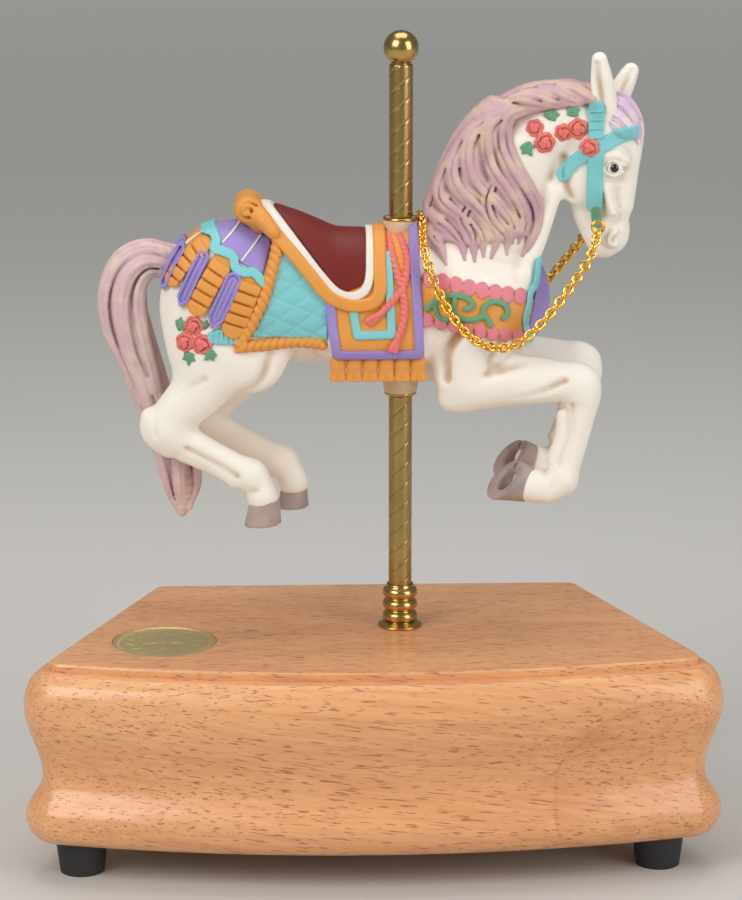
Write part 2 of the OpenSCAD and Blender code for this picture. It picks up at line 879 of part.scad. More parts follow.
module worm_wheel() {
    color("gold") translate([worm_x - 0.6, gov_y, gov_z]) spur(worm_teeth, worm_m, 1.2, 1, 0);
}

// Fan shaft with a two-start worm whose thread meets the wheel in a gap
module fan_shaft() {
    lead = worm_starts * PI * worm_m;
    turns = 1.6;
    ring_steps = 14;
    thread_low = gov_z - lead * turns / 2;
    color("silver")
        translate([worm_x, worm_y, 0]) {
            translate([0, 0, plate_top + 0.6]) cylinder(r = 0.8, h = 31.2);
            translate([0, 0, thread_low - 0.6]) cylinder(r = 1.15, h = lead * turns + 1.2);
            for (s = [0:worm_starts - 1])
                translate([0, 0, thread_low])
                    rotate(-90 + 180 * s - 360 * (gov_z - thread_low) / lead)
                        worm_thread(lead, turns, ring_steps);
        }
}

module worm_thread(lead, turns, steps) {
    n = ceil(turns * steps);
    section = [[1, 0.3], [2.05, 0.13], [2.05, -0.13], [1, -0.3]];
    skin([for (i = [0:n]) let (a = 360 * turns * i / n)
        [for (p = section) [p[0] * cos(a), p[0] * sin(a), lead * turns * i / n + p[1]]]]);
}

module air_fan() {
    color("lightgray")
        translate([worm_x, worm_y, 19.5])
            difference() {
                union() {
                    cylinder(r = 1.7, h = 7);
                    translate([-4.3, -0.35, 0]) cube([8.6, 0.7, 7]);
                }
                translate([0, 0, -1]) cylinder(r = 0.8, h = 9);
            }
}

wooden_base();
bottom_plate();
plate_screws();
rubber_feet();
foot_screws();
medallion();
guide_tube();
pole_collar();
lower_pole_tube();
upper_pole_tube();
clamp_rod();
follower_foot();
ball_finial();
belly_washer();
back_washer();
horse_body();
horse_head();
near_foreleg();
far_foreleg();
near_hind_leg();
far_hind_leg();
mane();
tail();
saddle();
saddle_blanket();
rump_drape();
breast_collar();
bridle();
rose_sprays();
rein_chain();
rein_rings();
bedplate();
movement_screws();
comb_base();
comb();
comb_screws();
left_bearing();
centre_bearing();
music_cylinder();
cylinder_pins();
cylinder_shaft();
cylinder_pinion();
great_wheel();
lift_cam();
spring_barrel();
barrel_lid();
mainspring();
winding_arbor();
ratchet_wheel();
click_pawl();
winding_key();
governor_frame();
governor_axle();
worm_wheel();
fan_shaft();
air_fan();
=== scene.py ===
# %% [markdown]
# # A wind-up music box with a carousel horse
# The real object is a painted porcelain horse on a brass pole that rises and falls over a wooden base. The
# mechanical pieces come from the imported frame, and this lesson makes what the eye sees: the wood, the brass,
# the porcelain sculpture and the painted harness.

# %% The frame and the tools
import json
import math

import bpy
import numpy as np
import openvdb
from mathutils import Matrix, Vector

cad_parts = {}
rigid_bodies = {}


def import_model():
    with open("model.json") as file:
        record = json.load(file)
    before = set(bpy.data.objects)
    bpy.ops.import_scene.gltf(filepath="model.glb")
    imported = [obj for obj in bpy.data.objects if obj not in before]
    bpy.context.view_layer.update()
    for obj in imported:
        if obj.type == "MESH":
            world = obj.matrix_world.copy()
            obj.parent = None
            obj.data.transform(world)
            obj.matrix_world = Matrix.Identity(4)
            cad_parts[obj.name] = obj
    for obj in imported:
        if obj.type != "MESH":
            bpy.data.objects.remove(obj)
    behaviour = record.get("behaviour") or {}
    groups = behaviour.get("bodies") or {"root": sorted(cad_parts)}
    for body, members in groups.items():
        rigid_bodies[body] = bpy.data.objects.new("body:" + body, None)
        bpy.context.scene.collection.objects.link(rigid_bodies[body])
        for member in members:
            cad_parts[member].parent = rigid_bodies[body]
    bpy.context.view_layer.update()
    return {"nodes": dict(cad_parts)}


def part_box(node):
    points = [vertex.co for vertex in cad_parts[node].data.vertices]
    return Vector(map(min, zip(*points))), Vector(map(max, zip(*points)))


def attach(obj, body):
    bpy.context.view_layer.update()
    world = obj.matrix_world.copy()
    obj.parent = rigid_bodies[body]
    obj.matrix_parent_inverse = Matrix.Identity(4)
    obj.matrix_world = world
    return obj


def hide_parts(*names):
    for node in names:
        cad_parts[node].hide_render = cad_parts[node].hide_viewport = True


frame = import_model()
MM = 0.001
POLE_LOW, POLE_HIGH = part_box("lower_pole_tube")
POLE = Vector(((POLE_LOW.x + POLE_HIGH.x) / 2, (POLE_LOW.y + POLE_HIGH.y) / 2, 0)) / MM
BASE_LOW, BASE_HIGH = (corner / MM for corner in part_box("wooden_base"))
print("pole stands at", [round(v, 2) for v in POLE], "mm; nodes:", len(frame["nodes"]))

# %% [markdown]
# ## Camera, floor and light
# The box is seen from the front with a long lens, a little above the top of its base. A grey floor with
# painted light that runs out of the picture and large soft lamps give the broad, quiet highlights that
# lacquered wood and bisque need. There is no wall, so the object can be seen from every side.

# %% Camera
TARGET = Vector((0, POLE.y, 110.2)) * MM
DISTANCE = 0.847
AZIMUTH = math.radians(-2)
PITCH = math.radians(13.5)
away = Vector((math.sin(AZIMUTH) * math.cos(PITCH), -math.cos(AZIMUTH) * math.cos(PITCH), math.sin(PITCH)))
camera = bpy.data.objects.new("camera", bpy.data.cameras.new("camera"))
camera.data.lens = 124
camera.data.sensor_width = 36
camera.data.clip_start = 0.01
camera.location = TARGET + away * DISTANCE
camera.rotation_euler = (-away).to_track_quat("-Z", "Y").to_euler()
bpy.context.scene.collection.objects.link(camera)
bpy.context.scene.camera = camera
print("camera at", [round(v, 3) for v in camera.location])


# %% Floor
def mesh_object(name, points, faces, smooth=True):
    """A mesh piece from points in metres and faces."""
    mesh = bpy.data.meshes.new(name)
    mesh.from_pydata([tuple(p) for p in points], [], [tuple(f) for f in faces])
    mesh.validate()
    mesh.update()
    mesh.shade_smooth() if smooth else mesh.shade_flat()
    made = bpy.data.objects.new(name, mesh)
    bpy.context.scene.collection.objects.link(made)
    return made


FLOOR_HALF = 12.0
corners = [(-FLOOR_HALF, -FLOOR_HALF, 0), (FLOOR_HALF, -FLOOR_HALF, 0), (FLOOR_HALF, FLOOR_HALF, 0),
           (-FLOOR_HALF, FLOOR_HALF, 0)]
backdrop = mesh_object("floor", corners, [(0, 1, 2, 3)], smooth=False)
print("floor:", 2 * FLOOR_HALF, "m square")


# %% Lamps
def soft_lamp(name, place, aim, size, power, colour=(1, 1, 1)):
    """A large square lamp in metres and watts, pointed at a place."""
    light = bpy.data.lights.new(name, "AREA")
    light.shape = "RECTANGLE"
    light.size, light.size_y = size
    light.energy = power
    light.color = colour
    lamp = bpy.data.objects.new(name, light)
    lamp.location = place
    lamp.rotation_euler = (Vector(aim) - Vector(place)).to_track_quat("-Z", "Y").to_euler()
    bpy.context.scene.collection.objects.link(lamp)
    return lamp


soft_lamp("key", (-0.75, -0.75, 0.85), (0, 0, 0.12), (0.7, 0.7), 9.0, (1.0, 0.98, 0.95))
soft_lamp("fill", (0.85, -0.7, 0.55), (0, 0, 0.12), (0.6, 0.9), 6.2, (1.0, 0.99, 0.98))
soft_lamp("top", (0.0, 0.1, 1.15), (0, 0, 0.1), (0.9, 0.7), 4.6)
world = bpy.data.worlds.new("room")
world.use_nodes = True
world.node_tree.nodes["Background"].inputs["Color"].default_value = (0.85, 0.87, 0.9, 1)
world.node_tree.nodes["Background"].inputs["Strength"].default_value = 0.24
bpy.context.scene.world = world
bpy.context.scene.view_settings.view_transform = "Standard"


# %% [markdown]
# ## Materials
# Every finish is a node material on object coordinates, or on an attribute that the sculpting writes. Two
# effects are shared as node groups: fine unevenness of a surface, and the tan wash that settles in hollows.

# %% Helpers for node trees
class Nodes:
    """Short calls for building one node tree."""

    def __init__(self, tree):
        self.tree = tree

    def add(self, kind, inputs=None, **settings):
        node = self.tree.nodes.new(kind)
        for key, value in settings.items():
            setattr(node, key, value)
        for key, value in (inputs or {}).items():
            if isinstance(value, bpy.types.NodeSocket):
                self.tree.links.new(value, node.inputs[key])
            else:
                node.inputs[key].default_value = value
        return node

    def math(self, operation, a, b=0.0, c=0.0, clamp=False):
        node = self.add("ShaderNodeMath", {0: a, 1: b, 2: c}, operation=operation, use_clamp=clamp)
        return node.outputs[0]

    def mix(self, factor, a, b, mode="MIX"):
        node = self.add("ShaderNodeMix", data_type="RGBA", blend_type=mode)
        for key, value in ((0, factor), (6, a), (7, b)):
            if isinstance(value, bpy.types.NodeSocket):
                self.tree.links.new(value, node.inputs[key])
            else:
                node.inputs[key].default_value = value
        return node.outputs[2]

    def ramp(self, factor, stops):
        node = self.add("ShaderNodeValToRGB", {0: factor})
        elements = node.color_ramp.elements
        while len(elements) < len(stops):
            elements.new(0.5)
        for element, (place, colour) in zip(elements, stops):
            element.position = place
            element.color = colour if len(colour) == 4 else (*colour, 1)
        return node.outputs[0]


def linear(red, green, blue):
    """A display colour from 0 to 255 as the linear colour that shaders use."""
    parts = [c / 255 for c in (red, green, blue)]
    return tuple(c / 12.92 if c <= 0.04045 else ((c + 0.055) / 1.055) ** 2.4 for c in parts) + (1.0,)


def new_group(name, inputs, outputs):
    """A shader node group with named sockets; inputs is a list of (name, kind, default)."""
    tree = bpy.data.node_groups.new(name, "ShaderNodeTree")
    for label, kind, default in inputs:
        socket = tree.interface.new_socket(label, in_out="INPUT", socket_type=kind)
        if default is not None:
            socket.default_value = default
    for label, kind in outputs:
        tree.interface.new_socket(label, in_out="OUTPUT", socket_type=kind)
    nodes = Nodes(tree)
    return tree, nodes, nodes.add("NodeGroupInput"), nodes.add("NodeGroupOutput")


FLOAT, COLOUR, VECTOR = "NodeSocketFloat", "NodeSocketColor", "NodeSocketVector"


# %% Group: uneven surface
def uneven_group():
    """Fine and broad noise, as a height and as a slow variation of tone."""
    tree, n, enter, leave = new_group(
        "uneven surface",
        [("Vector", VECTOR, None), ("Fine", FLOAT, 2500.0), ("Broad", FLOAT, 120.0)],
        [("Height", FLOAT), ("Tone", FLOAT)])
    fine = n.add("ShaderNodeTexNoise", {"Vector": enter.outputs["Vector"], "Scale": enter.outputs["Fine"],
                                        "Detail": 3.0})
    broad = n.add("ShaderNodeTexNoise", {"Vector": enter.outputs["Vector"], "Scale": enter.outputs["Broad"],
                                         "Detail": 4.0})
    tree.links.new(fine.outputs[0], leave.inputs["Height"])
    tree.links.new(broad.outputs[0], leave.inputs["Tone"])
    return tree


# %% Group: wash in the hollows
def wash_group():
    """Mixes a thin brown wash into a colour where the sculpture's 'hollow' attribute is high."""
    tree, n, enter, leave = new_group(
        "wash in hollows",
        [("Paint", COLOUR, None), ("Wash", COLOUR, None), ("Amount", FLOAT, 1.0), ("Tone", FLOAT, 0.5)],
        [("Colour", COLOUR), ("Mask", FLOAT)])
    hollow = n.add("ShaderNodeAttribute", attribute_name="hollow")
    patchy = n.math("MULTIPLY_ADD", enter.outputs["Tone"], 1.2, 0.4)
    amount = n.math("MULTIPLY", hollow.outputs["Fac"], patchy)
    mask = n.math("MULTIPLY", amount, enter.outputs["Amount"], clamp=True)
    colour = n.mix(mask, enter.outputs["Paint"], enter.outputs["Wash"])
    tree.links.new(colour, leave.inputs["Colour"])
    tree.links.new(mask, leave.inputs["Mask"])
    return tree


UNEVEN = uneven_group()
WASH = wash_group()


def use_group(n, tree, inputs):
    """Places a node group in a tree and returns the node."""
    node = n.add("ShaderNodeGroup", node_tree=tree)
    for key, value in inputs.items():
        if isinstance(value, bpy.types.NodeSocket):
            n.tree.links.new(value, node.inputs[key])
        else:
            node.inputs[key].default_value = value
    return node


def new_material(name):
    """An empty node material: its node helper, its shader and its object coordinates."""
    material = bpy.data.materials.new(name)
    material.use_nodes = True
    n = Nodes(material.node_tree)
    shader = material.node_tree.nodes["Principled BSDF"]
    place = n.add("ShaderNodeTexCoord").outputs["Object"]
    return material, n, shader, place


def bump(n, shader, height, distance, strength=1.0):
    """Feeds a height into the shader's normal; the distance is in metres."""
    node = n.add("ShaderNodeBump", {"Height": height, "Distance": distance, "Strength": strength})
    n.tree.links.new(node.outputs[0], shader.inputs["Normal"])


# %% Bisque and paint on bisque
def bisque(name, colour, wash, amount=1.0, shade=0.12, roughness=0.5, tint=None):
    """Painted, unglazed porcelain: slow changes of tone, a wash in the hollows, a faint grain."""
    material, n, shader, place = new_material(name)
    uneven = use_group(n, UNEVEN, {"Vector": place, "Fine": 2600.0, "Broad": 130.0})
    paint = colour
    if tint:
        patch = n.add("ShaderNodeTexNoise", {"Vector": place, "Scale": 170.0, "Detail": 2.0}).outputs[0]
        paint = n.mix(n.ramp(patch, [(0.42, (0, 0, 0)), (0.66, (1, 1, 1))]), colour, tint)
    dark = n.mix(n.math("MULTIPLY", uneven.outputs["Tone"], shade), paint, (0.25, 0.16, 0.09, 1), "MULTIPLY")
    washed = use_group(n, WASH, {"Paint": dark, "Wash": wash, "Amount": amount,
                                 "Tone": uneven.outputs["Tone"]})
    n.tree.links.new(washed.outputs["Colour"], shader.inputs["Base Color"])
    rough = n.math("MULTIPLY_ADD", uneven.outputs["Tone"], 0.18, roughness - 0.09)
    n.tree.links.new(rough, shader.inputs["Roughness"])
    bump(n, shader, uneven.outputs["Height"], 0.00002)
    shader.inputs["Specular IOR Level"].default_value = 0.4
    shader.inputs["Subsurface Weight"].default_value = 0.06
    shader.inputs["Subsurface Radius"].default_value = (0.002, 0.0012, 0.0008)
    return material


BROWN_WASH = linear(184, 140, 88)
MAUVE_WASH = linear(112, 76, 80)
PORCELAIN = bisque("porcelain", linear(250, 244, 232), BROWN_WASH, 0.8, 0.1)
MANE_PAINT = bisque("mane paint", linear(206, 168, 178), MAUVE_WASH, 1.0, tint=linear(222, 192, 172))
TAIL_PAINT = bisque("tail paint", linear(218, 184, 190), MAUVE_WASH, 1.0, tint=linear(228, 204, 192))
FORELOCK_PAINT = bisque("forelock paint", linear(220, 188, 222), MAUVE_WASH, 0.5, tint=linear(240, 222, 226))
HOOF_PAINT = bisque("hoof paint", linear(184, 164, 156), linear(96, 74, 66), 1.2, tint=linear(160, 146, 146))
print("materials so far:", len(bpy.data.materials))


# %% Grey paper for the floor, with painted light and a painted glow
def floor_with_painted_light():
    """A matt grey floor with painted light: lightest a little way out, darker far off, and with a painted glow
    far from the lamps so that it doesn't fade to black.
    """
    material, n, shader, place = new_material("grey paper")
    away = n.add("ShaderNodeVectorMath", {0: place}, operation="LENGTH").outputs["Value"]
    share = n.math("DIVIDE", away, 3.0, clamp=True)
    # The grey is painted light: lightest about 0.3 m out, darker farther away.
    grey = n.ramp(share, [(0.0, linear(206, 203, 199)), (0.1, linear(214, 211, 206)),
                          (0.3, linear(192, 190, 184)), (0.9, linear(176, 175, 169))])
    # A painted glow that grows far from the lamps.
    glow = n.ramp(share, [(0.1, (0, 0, 0)), (0.3, (0.07, 0.07, 0.064)), (0.6, (0.15, 0.148, 0.138)),
                          (0.9, (0.205, 0.202, 0.188))])
    n.tree.links.new(grey, shader.inputs["Base Color"])
    n.tree.links.new(glow, shader.inputs["Emission Color"])
    shader.inputs["Emission Strength"].default_value = 1.0
    shader.inputs["Roughness"].default_value = 0.9
    return material


backdrop.data.materials.append(floor_with_painted_light())


# %% [markdown]
# ## A way to sculpt in code
# Porcelain has no edges that a ruler would make: limbs swell, run into each other and crease. Digital clay
# does this well. A grid holds, at each of its points, the distance to the surface. Each bone or muscle is
# blended into it with a smooth minimum, and each crease is taken out with a smooth maximum. OpenVDB then
# wraps the zero level in a mesh. All lengths here are in mm, with y measured from the middle of the pole.

# %% Distances
FAR = 6.0


def smooth_min(a, b, k):
    """The smaller of two distances, rounded where they meet within k."""
    if k <= 0:
        return np.minimum(a, b)
    h = np.clip(0.5 + 0.5 * (b - a) / k, 0, 1)
    return b + (a - b) * h - k * h * (1 - h)


def smooth_max(a, b, k):
    """The larger of two distances, rounded where they meet within k."""
    return -smooth_min(-a, -b, k)


def curve_points(points, steps=4):
    """Points on a smooth curve (Catmull-Rom) through the given points, of any number of values each."""
    p = np.array(points, float)
    if steps <= 1 or len(p) < 3:
        return p
    q = np.vstack([2 * p[0] - p[1], p, 2 * p[-1] - p[-2]])
    made = []
    for i in range(1, len(q) - 2):
        for j in range(steps):
            t = j / steps
            made.append(0.5 * (2 * q[i] + (q[i + 1] - q[i - 1]) * t
                               + (2 * q[i - 1] - 5 * q[i] + 4 * q[i + 1] - q[i + 2]) * t ** 2
                               + (3 * q[i] - q[i - 1] - 3 * q[i + 1] + q[i + 2]) * t ** 3))
    made.append(q[-2])
    return np.array(made)


# %% The clay
class Clay:
    """A block of clay between two corners, as a grid of distances to its surface."""

    def __init__(self, low, high, step):
        self.low = np.array(low, float)
        self.step = step
        self.size = np.ceil((np.array(high) - self.low) / step).astype(int) + 1
        self.d = np.full(self.size, FAR, np.float32)

    def region(self, low, high):
        """The slices of the grid between two corners, and the coordinates there."""
        first = np.clip(np.floor((np.array(low) - self.low) / self.step).astype(int), 0, self.size)
        last = np.clip(np.ceil((np.array(high) - self.low) / self.step).astype(int) + 1, 0, self.size)
        x, y, z = [(self.low[a] + self.step * np.arange(first[a], last[a])).astype(np.float32)
                   for a in range(3)]
        where = tuple(slice(first[a], last[a]) for a in range(3))
        return where, x[:, None, None], y[None, :, None], z[None, None, :]

    def everywhere(self):
        return self.region(self.low, self.low + (self.size - 1) * self.step)

    def copy(self):
        other = Clay(self.low, self.low, self.step)
        other.size, other.d = self.size, self.d.copy()
        return other

    def put(self, where, distance, k, cut):
        here = self.d[where]
        self.d[where] = smooth_max(here, -distance, k) if cut else smooth_min(here, distance, k)

    def bone(self, points, k=2.0, flat=1.0, cut=False, steps=4):
        """A limb through points (x, y, z, radius). flat below 1 makes it narrow from side to side."""
        p = curve_points(points, steps)
        reach = p[:, 3].max() + k + 1.5
        where, x, y, z = self.region(p[:, :3].min(0) - reach, p[:, :3].max(0) + reach)
        best = None
        for a, b in zip(p[:-1], p[1:]):
            v = b[:3] - a[:3]
            v = v * np.array([1, 1 / flat, 1])
            length = float(v @ v) + 1e-9
            dx, dy, dz = x - a[0], (y - a[1]) / flat, z - a[2]
            t = np.clip((dx * v[0] + dy * v[1] + dz * v[2]) / length, 0, 1)
            d = np.sqrt((dx - t * v[0]) ** 2 + (dy - t * v[1]) ** 2 + (dz - t * v[2]) ** 2)
            d = (d - (a[3] + t * (b[3] - a[3]))) * min(1.0, flat)
            best = d if best is None else np.minimum(best, d)
        self.put(where, best.astype(np.float32), k, cut)

    def blob(self, centre, radii, k=3.0, tilt=0.0, turn=0.0, cut=False):
        """An ellipsoid, tilted about Y and turned about Z by degrees."""
        c, r = np.array(centre, float), np.array(radii, float)
        reach = r.max() + k + 1.5
        where, x, y, z = self.region(c - reach, c + reach)
        dx, dy, dz = x - c[0], y - c[1], z - c[2]
        a, b = math.radians(turn), math.radians(tilt)
        ux = dx * math.cos(a) + dy * math.sin(a)
        uy = -dx * math.sin(a) + dy * math.cos(a)
        vx = ux * math.cos(b) - dz * math.sin(b)
        vz = ux * math.sin(b) + dz * math.cos(b)
        near = np.sqrt((vx / r[0]) ** 2 + (uy / r[1]) ** 2 + (vz / r[2]) ** 2)
        steep = np.sqrt((vx / r[0] ** 2) ** 2 + (uy / r[1] ** 2) ** 2 + (vz / r[2] ** 2) ** 2)
        self.put(where, (near * (near - 1) / (steep + 1e-6)).astype(np.float32), k, cut)

    def both(self, call, *args, **kw):
        """The same stroke on the near and on the far side."""
        for side in (-1, 1):
            if call == "bone":
                points = [(p[0], side * p[1], *p[2:]) for p in args[0]]
                self.bone(points, **kw)
            else:
                centre, radii = args
                turn = kw.get("turn", 0.0) * -side
                self.blob((centre[0], side * centre[1], centre[2]), radii, **{**kw, "turn": turn})

    def resampled(self, low, high, step, size=None):
        """This clay's distances on another grid."""
        other = Clay(low, high, step)
        if size is not None:
            other.size = size
        values = self.d
        for axis in range(3):
            at = (other.low[axis] + step * np.arange(other.size[axis]) - self.low[axis]) / self.step
            at = np.clip(at, 0, self.size[axis] - 1.001)
            i = at.astype(int)
            t = (at - i).astype(np.float32)
            shape = [1, 1, 1]
            shape[axis] = -1
            t = t.reshape(shape)
            values = np.take(values, i, axis) * (1 - t) + np.take(values, i + 1, axis) * t
        other.d = values
        return other

    def sample(self, points):
        """Distances at points in mm."""
        at = (np.asarray(points) - self.low) / self.step
        at = np.clip(at, 0, self.size - 1.001)
        i = at.astype(int)
        t = at - i
        total = 0
        for corner in np.ndindex(2, 2, 2):
            c = np.array(corner)
            weight = np.prod(np.where(c, t, 1 - t), axis=1)
            j = i + c
            total = total + weight * self.d[j[:, 0], j[:, 1], j[:, 2]]
        return total


def blurred(values, reach):
    """A grid blurred by a box of 2 * reach + 1 points along each axis."""
    for axis in range(3):
        padded = np.concatenate([np.repeat(np.take(values, [0], axis), reach + 1, axis), values,
                                 np.repeat(np.take(values, [-1], axis), reach, axis)], axis)
        run = np.cumsum(padded, axis, dtype=np.float64)
        n = values.shape[axis]
        hi = np.take(run, np.arange(n) + 2 * reach + 1, axis)
        lo = np.take(run, np.arange(n), axis)
        values = ((hi - lo) / (2 * reach + 1)).astype(np.float32)
    return values


# %% From clay to mesh
def fire(clay, name, material, soft=1.8, gain=4.6):
    """Wraps the clay's surface in a mesh, with the attribute 'hollow' where it is creased."""
    grid = openvdb.FloatGrid(FAR)
    grid.copyFromArray(clay.d)
    points, quads = grid.convertToQuads(0.0)[:2]
    points = np.asarray(points, float)
    quads = np.asarray(quads, int)
    a, b, c = points[quads[:, 0]], points[quads[:, 1]], points[quads[:, 2]]
    if np.einsum("ij,ij->", a, np.cross(b, c)) < 0:
        quads = quads[:, ::-1]
    places = points * clay.step + clay.low
    smooth = Clay(clay.low, clay.low, clay.step)
    smooth.size = clay.size
    smooth.d = blurred(np.clip(clay.d, -FAR, FAR), max(1, round(soft / clay.step)))
    hollow = np.clip(-smooth.sample(places) / soft * gain, 0, 1)
    smooth.d = blurred(smooth.d, max(1, round(1.4 * soft / clay.step)))
    hollow = np.maximum(hollow, np.clip(-smooth.sample(places) / soft * gain * 0.55 - 0.12, 0, 0.6))
    mesh = bpy.data.meshes.new(name)
    mesh.vertices.add(len(places))
    world_places = (places + np.array([0, POLE.y, 0])) * MM
    mesh.vertices.foreach_set("co", world_places.astype(np.float32).ravel())
    mesh.loops.add(len(quads) * 4)
    mesh.loops.foreach_set("vertex_index", quads.astype(np.int32).ravel())
    mesh.polygons.add(len(quads))
    mesh.polygons.foreach_set("loop_start", np.arange(0, len(quads) * 4, 4, dtype=np.int32))
    mesh.update(calc_edges=True)
    mesh.validate()
    mesh.shade_smooth()
    mesh.attributes.new("hollow", "FLOAT", "POINT").data.foreach_set("value", hollow.astype(np.float32))
    mesh.materials.append(material)
    made = bpy.data.objects.new(name, mesh)
    bpy.context.scene.collection.objects.link(made)
    print(f"{name}: {len(quads)} faces")
    return made


def edge_of_block(clay):
    """Positive only on the outermost points, so that every mesh is closed."""
    rim = np.full(clay.size, -FAR, np.float32)
    for axis in range(3):
        for end in (0, -1):
            where = [slice(None)] * 3
            where[axis] = end
            rim[tuple(where)] = 0.2
    return rim


def carried(piece, slot, *nodes):
    """A finished piece that rises with the horse and stands for some frame nodes."""
    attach(piece, "carriage")
    if nodes:
        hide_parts(*nodes)
    return piece


# %% [markdown]
# ## The horse
# The body is one casting, so it is one piece of clay: haunches, barrel, chest, neck, head and four legs. The
# muscles are laid on first, and then the creases between them are cut, because the wash that makes bisque
# look old gathers there.

# %% Body, haunches and chest
horse = Clay((-64, -22, 86), (78, 22, 221), 0.58)
horse.bone([(-36, 0, 152.5, 17.5), (-14, 0, 150.5, 15.2), (8, 0, 149.5, 16.2), (24, 0, 151, 16.5)], 3, 0.92)
horse.both("blob", (-42.5, 6, 152.5), (14.2, 9.5, 18.5), k=5, tilt=8)
horse.blob((-33, 0, 156), (17, 12.5, 17), 5)
horse.blob((20, 0, 146), (15, 12.5, 16.8), 5)
horse.blob((36.5, 0, 152), (10.8, 11.5, 12.5), 5)
horse.both("blob", (28, 8, 146.5), (11, 7, 12.5), k=4)
horse.both("blob", (-43, 9.5, 142), (11.5, 6.6, 12), k=4, tilt=20)
horse.both("blob", (-32.5, 9.5, 137), (9.5, 6, 8.5), k=4, tilt=-25)
horse.blob((18, 0, 162), (15, 8.5, 11.8), 5)
horse.both("bone", [(-8, 9.5, 143.5, 6.2), (11, 9.5, 143.5, 6.2)], k=3)

# %% Neck
horse.bone([(29, 0, 158, 14), (33, 0, 172, 12.2), (37.5, 0, 184, 10.6), (44, 0, 194.5, 9.4),
            (53, -0.5, 200, 8.6)], 4, 0.8)
horse.both("bone", [(41, 7, 160, 2.2), (45, 5.5, 170, 2.2), (49, 4.5, 182, 2)], k=3)

# %% Forelegs
def foreleg(side, dx, dz):
    """One folded foreleg; side is -1 on the near side."""
    y = 9.6 * side
    at = lambda x, dy, z, r: (x + dx, y + dy * side, z + dz, r)
    horse.bone([at(27, -1, 139, 9.5), at(25.5, -0.3, 131.5, 8), at(34, 0, 131.6, 7.4), at(44, 0, 131.4, 6.4),
                at(52.5, 0, 131, 5.3)], 3.5, 0.85)
    horse.blob(at(22.5, 0, 126.2, 0)[:3], (4.2, 3.6, 3.4), 3)
    horse.blob(at(56, 0, 130.3, 0)[:3], (5.6, 4.4, 5.6), 2.5)
    horse.bone([at(56.8, 0, 126, 4.6), at(55.8, 0, 119, 3.7), at(54, 0, 111.5, 3.5),
                at(51.7, 0, 105.2, 4.0)],
               2.5, 0.85)
    horse.bone([at(51, 0, 122, 1.3), at(50.8, 0, 116, 1.4), at(48.6, 0, 109.5, 1.6)], 1.6)
    horse.bone([at(51.2, 0, 103.5, 4.3), at(47, 0, 101.8, 4.5), at(42.6, 0, 102.5, 4.7)], 2, 0.9)
    horse.bone([at(53.6, 3.4, 125, 0.6), at(52.8, 3.3, 117, 0.8), at(50.4, 3.5, 109, 0.7)], 1.2, cut=True)
    horse.bone([at(57.6, 3.6, 119, 0.3), at(56.4, 3.3, 112, 0.4)], 1.2, cut=True)
    horse.bone([at(38, 6.2, 127, 0.6), at(44, 5.7, 128.6, 0.8), at(51.5, 4.7, 132.2, 0.8)], 1.5, cut=True)
    horse.bone([at(49, 4.6, 105, 0.6), at(47.2, 4.7, 99.5, 0.6)], 1.2, cut=True)


foreleg(-1, 0, 0)
foreleg(1, 2.2, 1.8)


# %% Hind legs
def hind_leg(side, dx, dz):
    """One bent hind leg; side is -1 on the near side."""
    y = 10.4 * side
    at = lambda x, dy, z, r: (x + dx, y + dy * side, z + dz, r)
    horse.bone([at(-42, -1, 139, 9), at(-45.5, -0.4, 131, 7.6), at(-51.5, 0, 124.5, 6.2),
                at(-56, 0, 120, 5.4)],
               4, 0.8)
    horse.bone([at(-60.2, 0, 122.6, 1.9), at(-59.6, 0, 117.6, 2.3), at(-55, 0, 113.8, 2.6)], 2.0, 0.8)
    horse.bone([at(-54.5, 0, 118, 4.9), at(-47, 0, 113.8, 4.1), at(-38.2, 0, 109.2, 3.6),
                at(-32.9, 0, 106.2, 4.1)],
               2.5, 0.82)
    horse.bone([at(-51, 0, 111.4, 1.5), at(-43, 0, 107.6, 1.5), at(-36.7, 0, 104, 1.9)], 1.8)
    horse.bone([at(-32.6, 0, 105.8, 4.0), at(-30.4, 0, 102.4, 3.9), at(-29.7, 0, 100, 4.2)], 2, 0.92)
    horse.bone([at(-50, 3.5, 114.2, 0.7), at(-42, 3.2, 109.8, 0.8), at(-36.5, 3.2, 106.4, 0.7)], 1.2,
               cut=True)
    horse.bone([at(-56.5, 5.2, 127.5, 0.5), at(-50, 6.4, 131.4, 0.7), at(-45, 7, 133.8, 0.5)], 2, cut=True)
    horse.bone([at(-58.6, 4.2, 122, 0.4), at(-58.2, 4.4, 118, 0.5)], 1.2, cut=True)
    horse.bone([at(-34, 3.4, 101.8, 0.6), at(-31.2, 4.0, 102.6, 0.6)], 1.2, cut=True)


hind_leg(-1, 0, 0)
hind_leg(1, 8.5, -1.2)

# %% Creases between the muscles
horse.both("bone", [(24, 15.2, 147, 0.7), (20, 14.5, 140, 0.9), (20, 13.5, 133, 0.8)], k=3, cut=True)
horse.both("bone", [(47, 12, 140, 0.4), (39, 14.2, 136.8, 0.6), (31, 15.6, 134.6, 0.5)], k=2.5, cut=True)
horse.both("bone", [(34, 15.4, 143, 0.5), (31.5, 15.9, 138, 0.7), (34, 15.4, 136, 0.5)], k=2.5, cut=True)
horse.both("bone", [(-27, 15, 140, 0.6), (-30, 14.5, 132, 0.9), (-36, 13, 126.5, 0.8)], k=3, cut=True)
print("clay of the body:", horse.d.size, "points")

# %% Head
HEAD_TURN = math.radians(-16)
HEAD_AXIS = (58.0, 0.0)


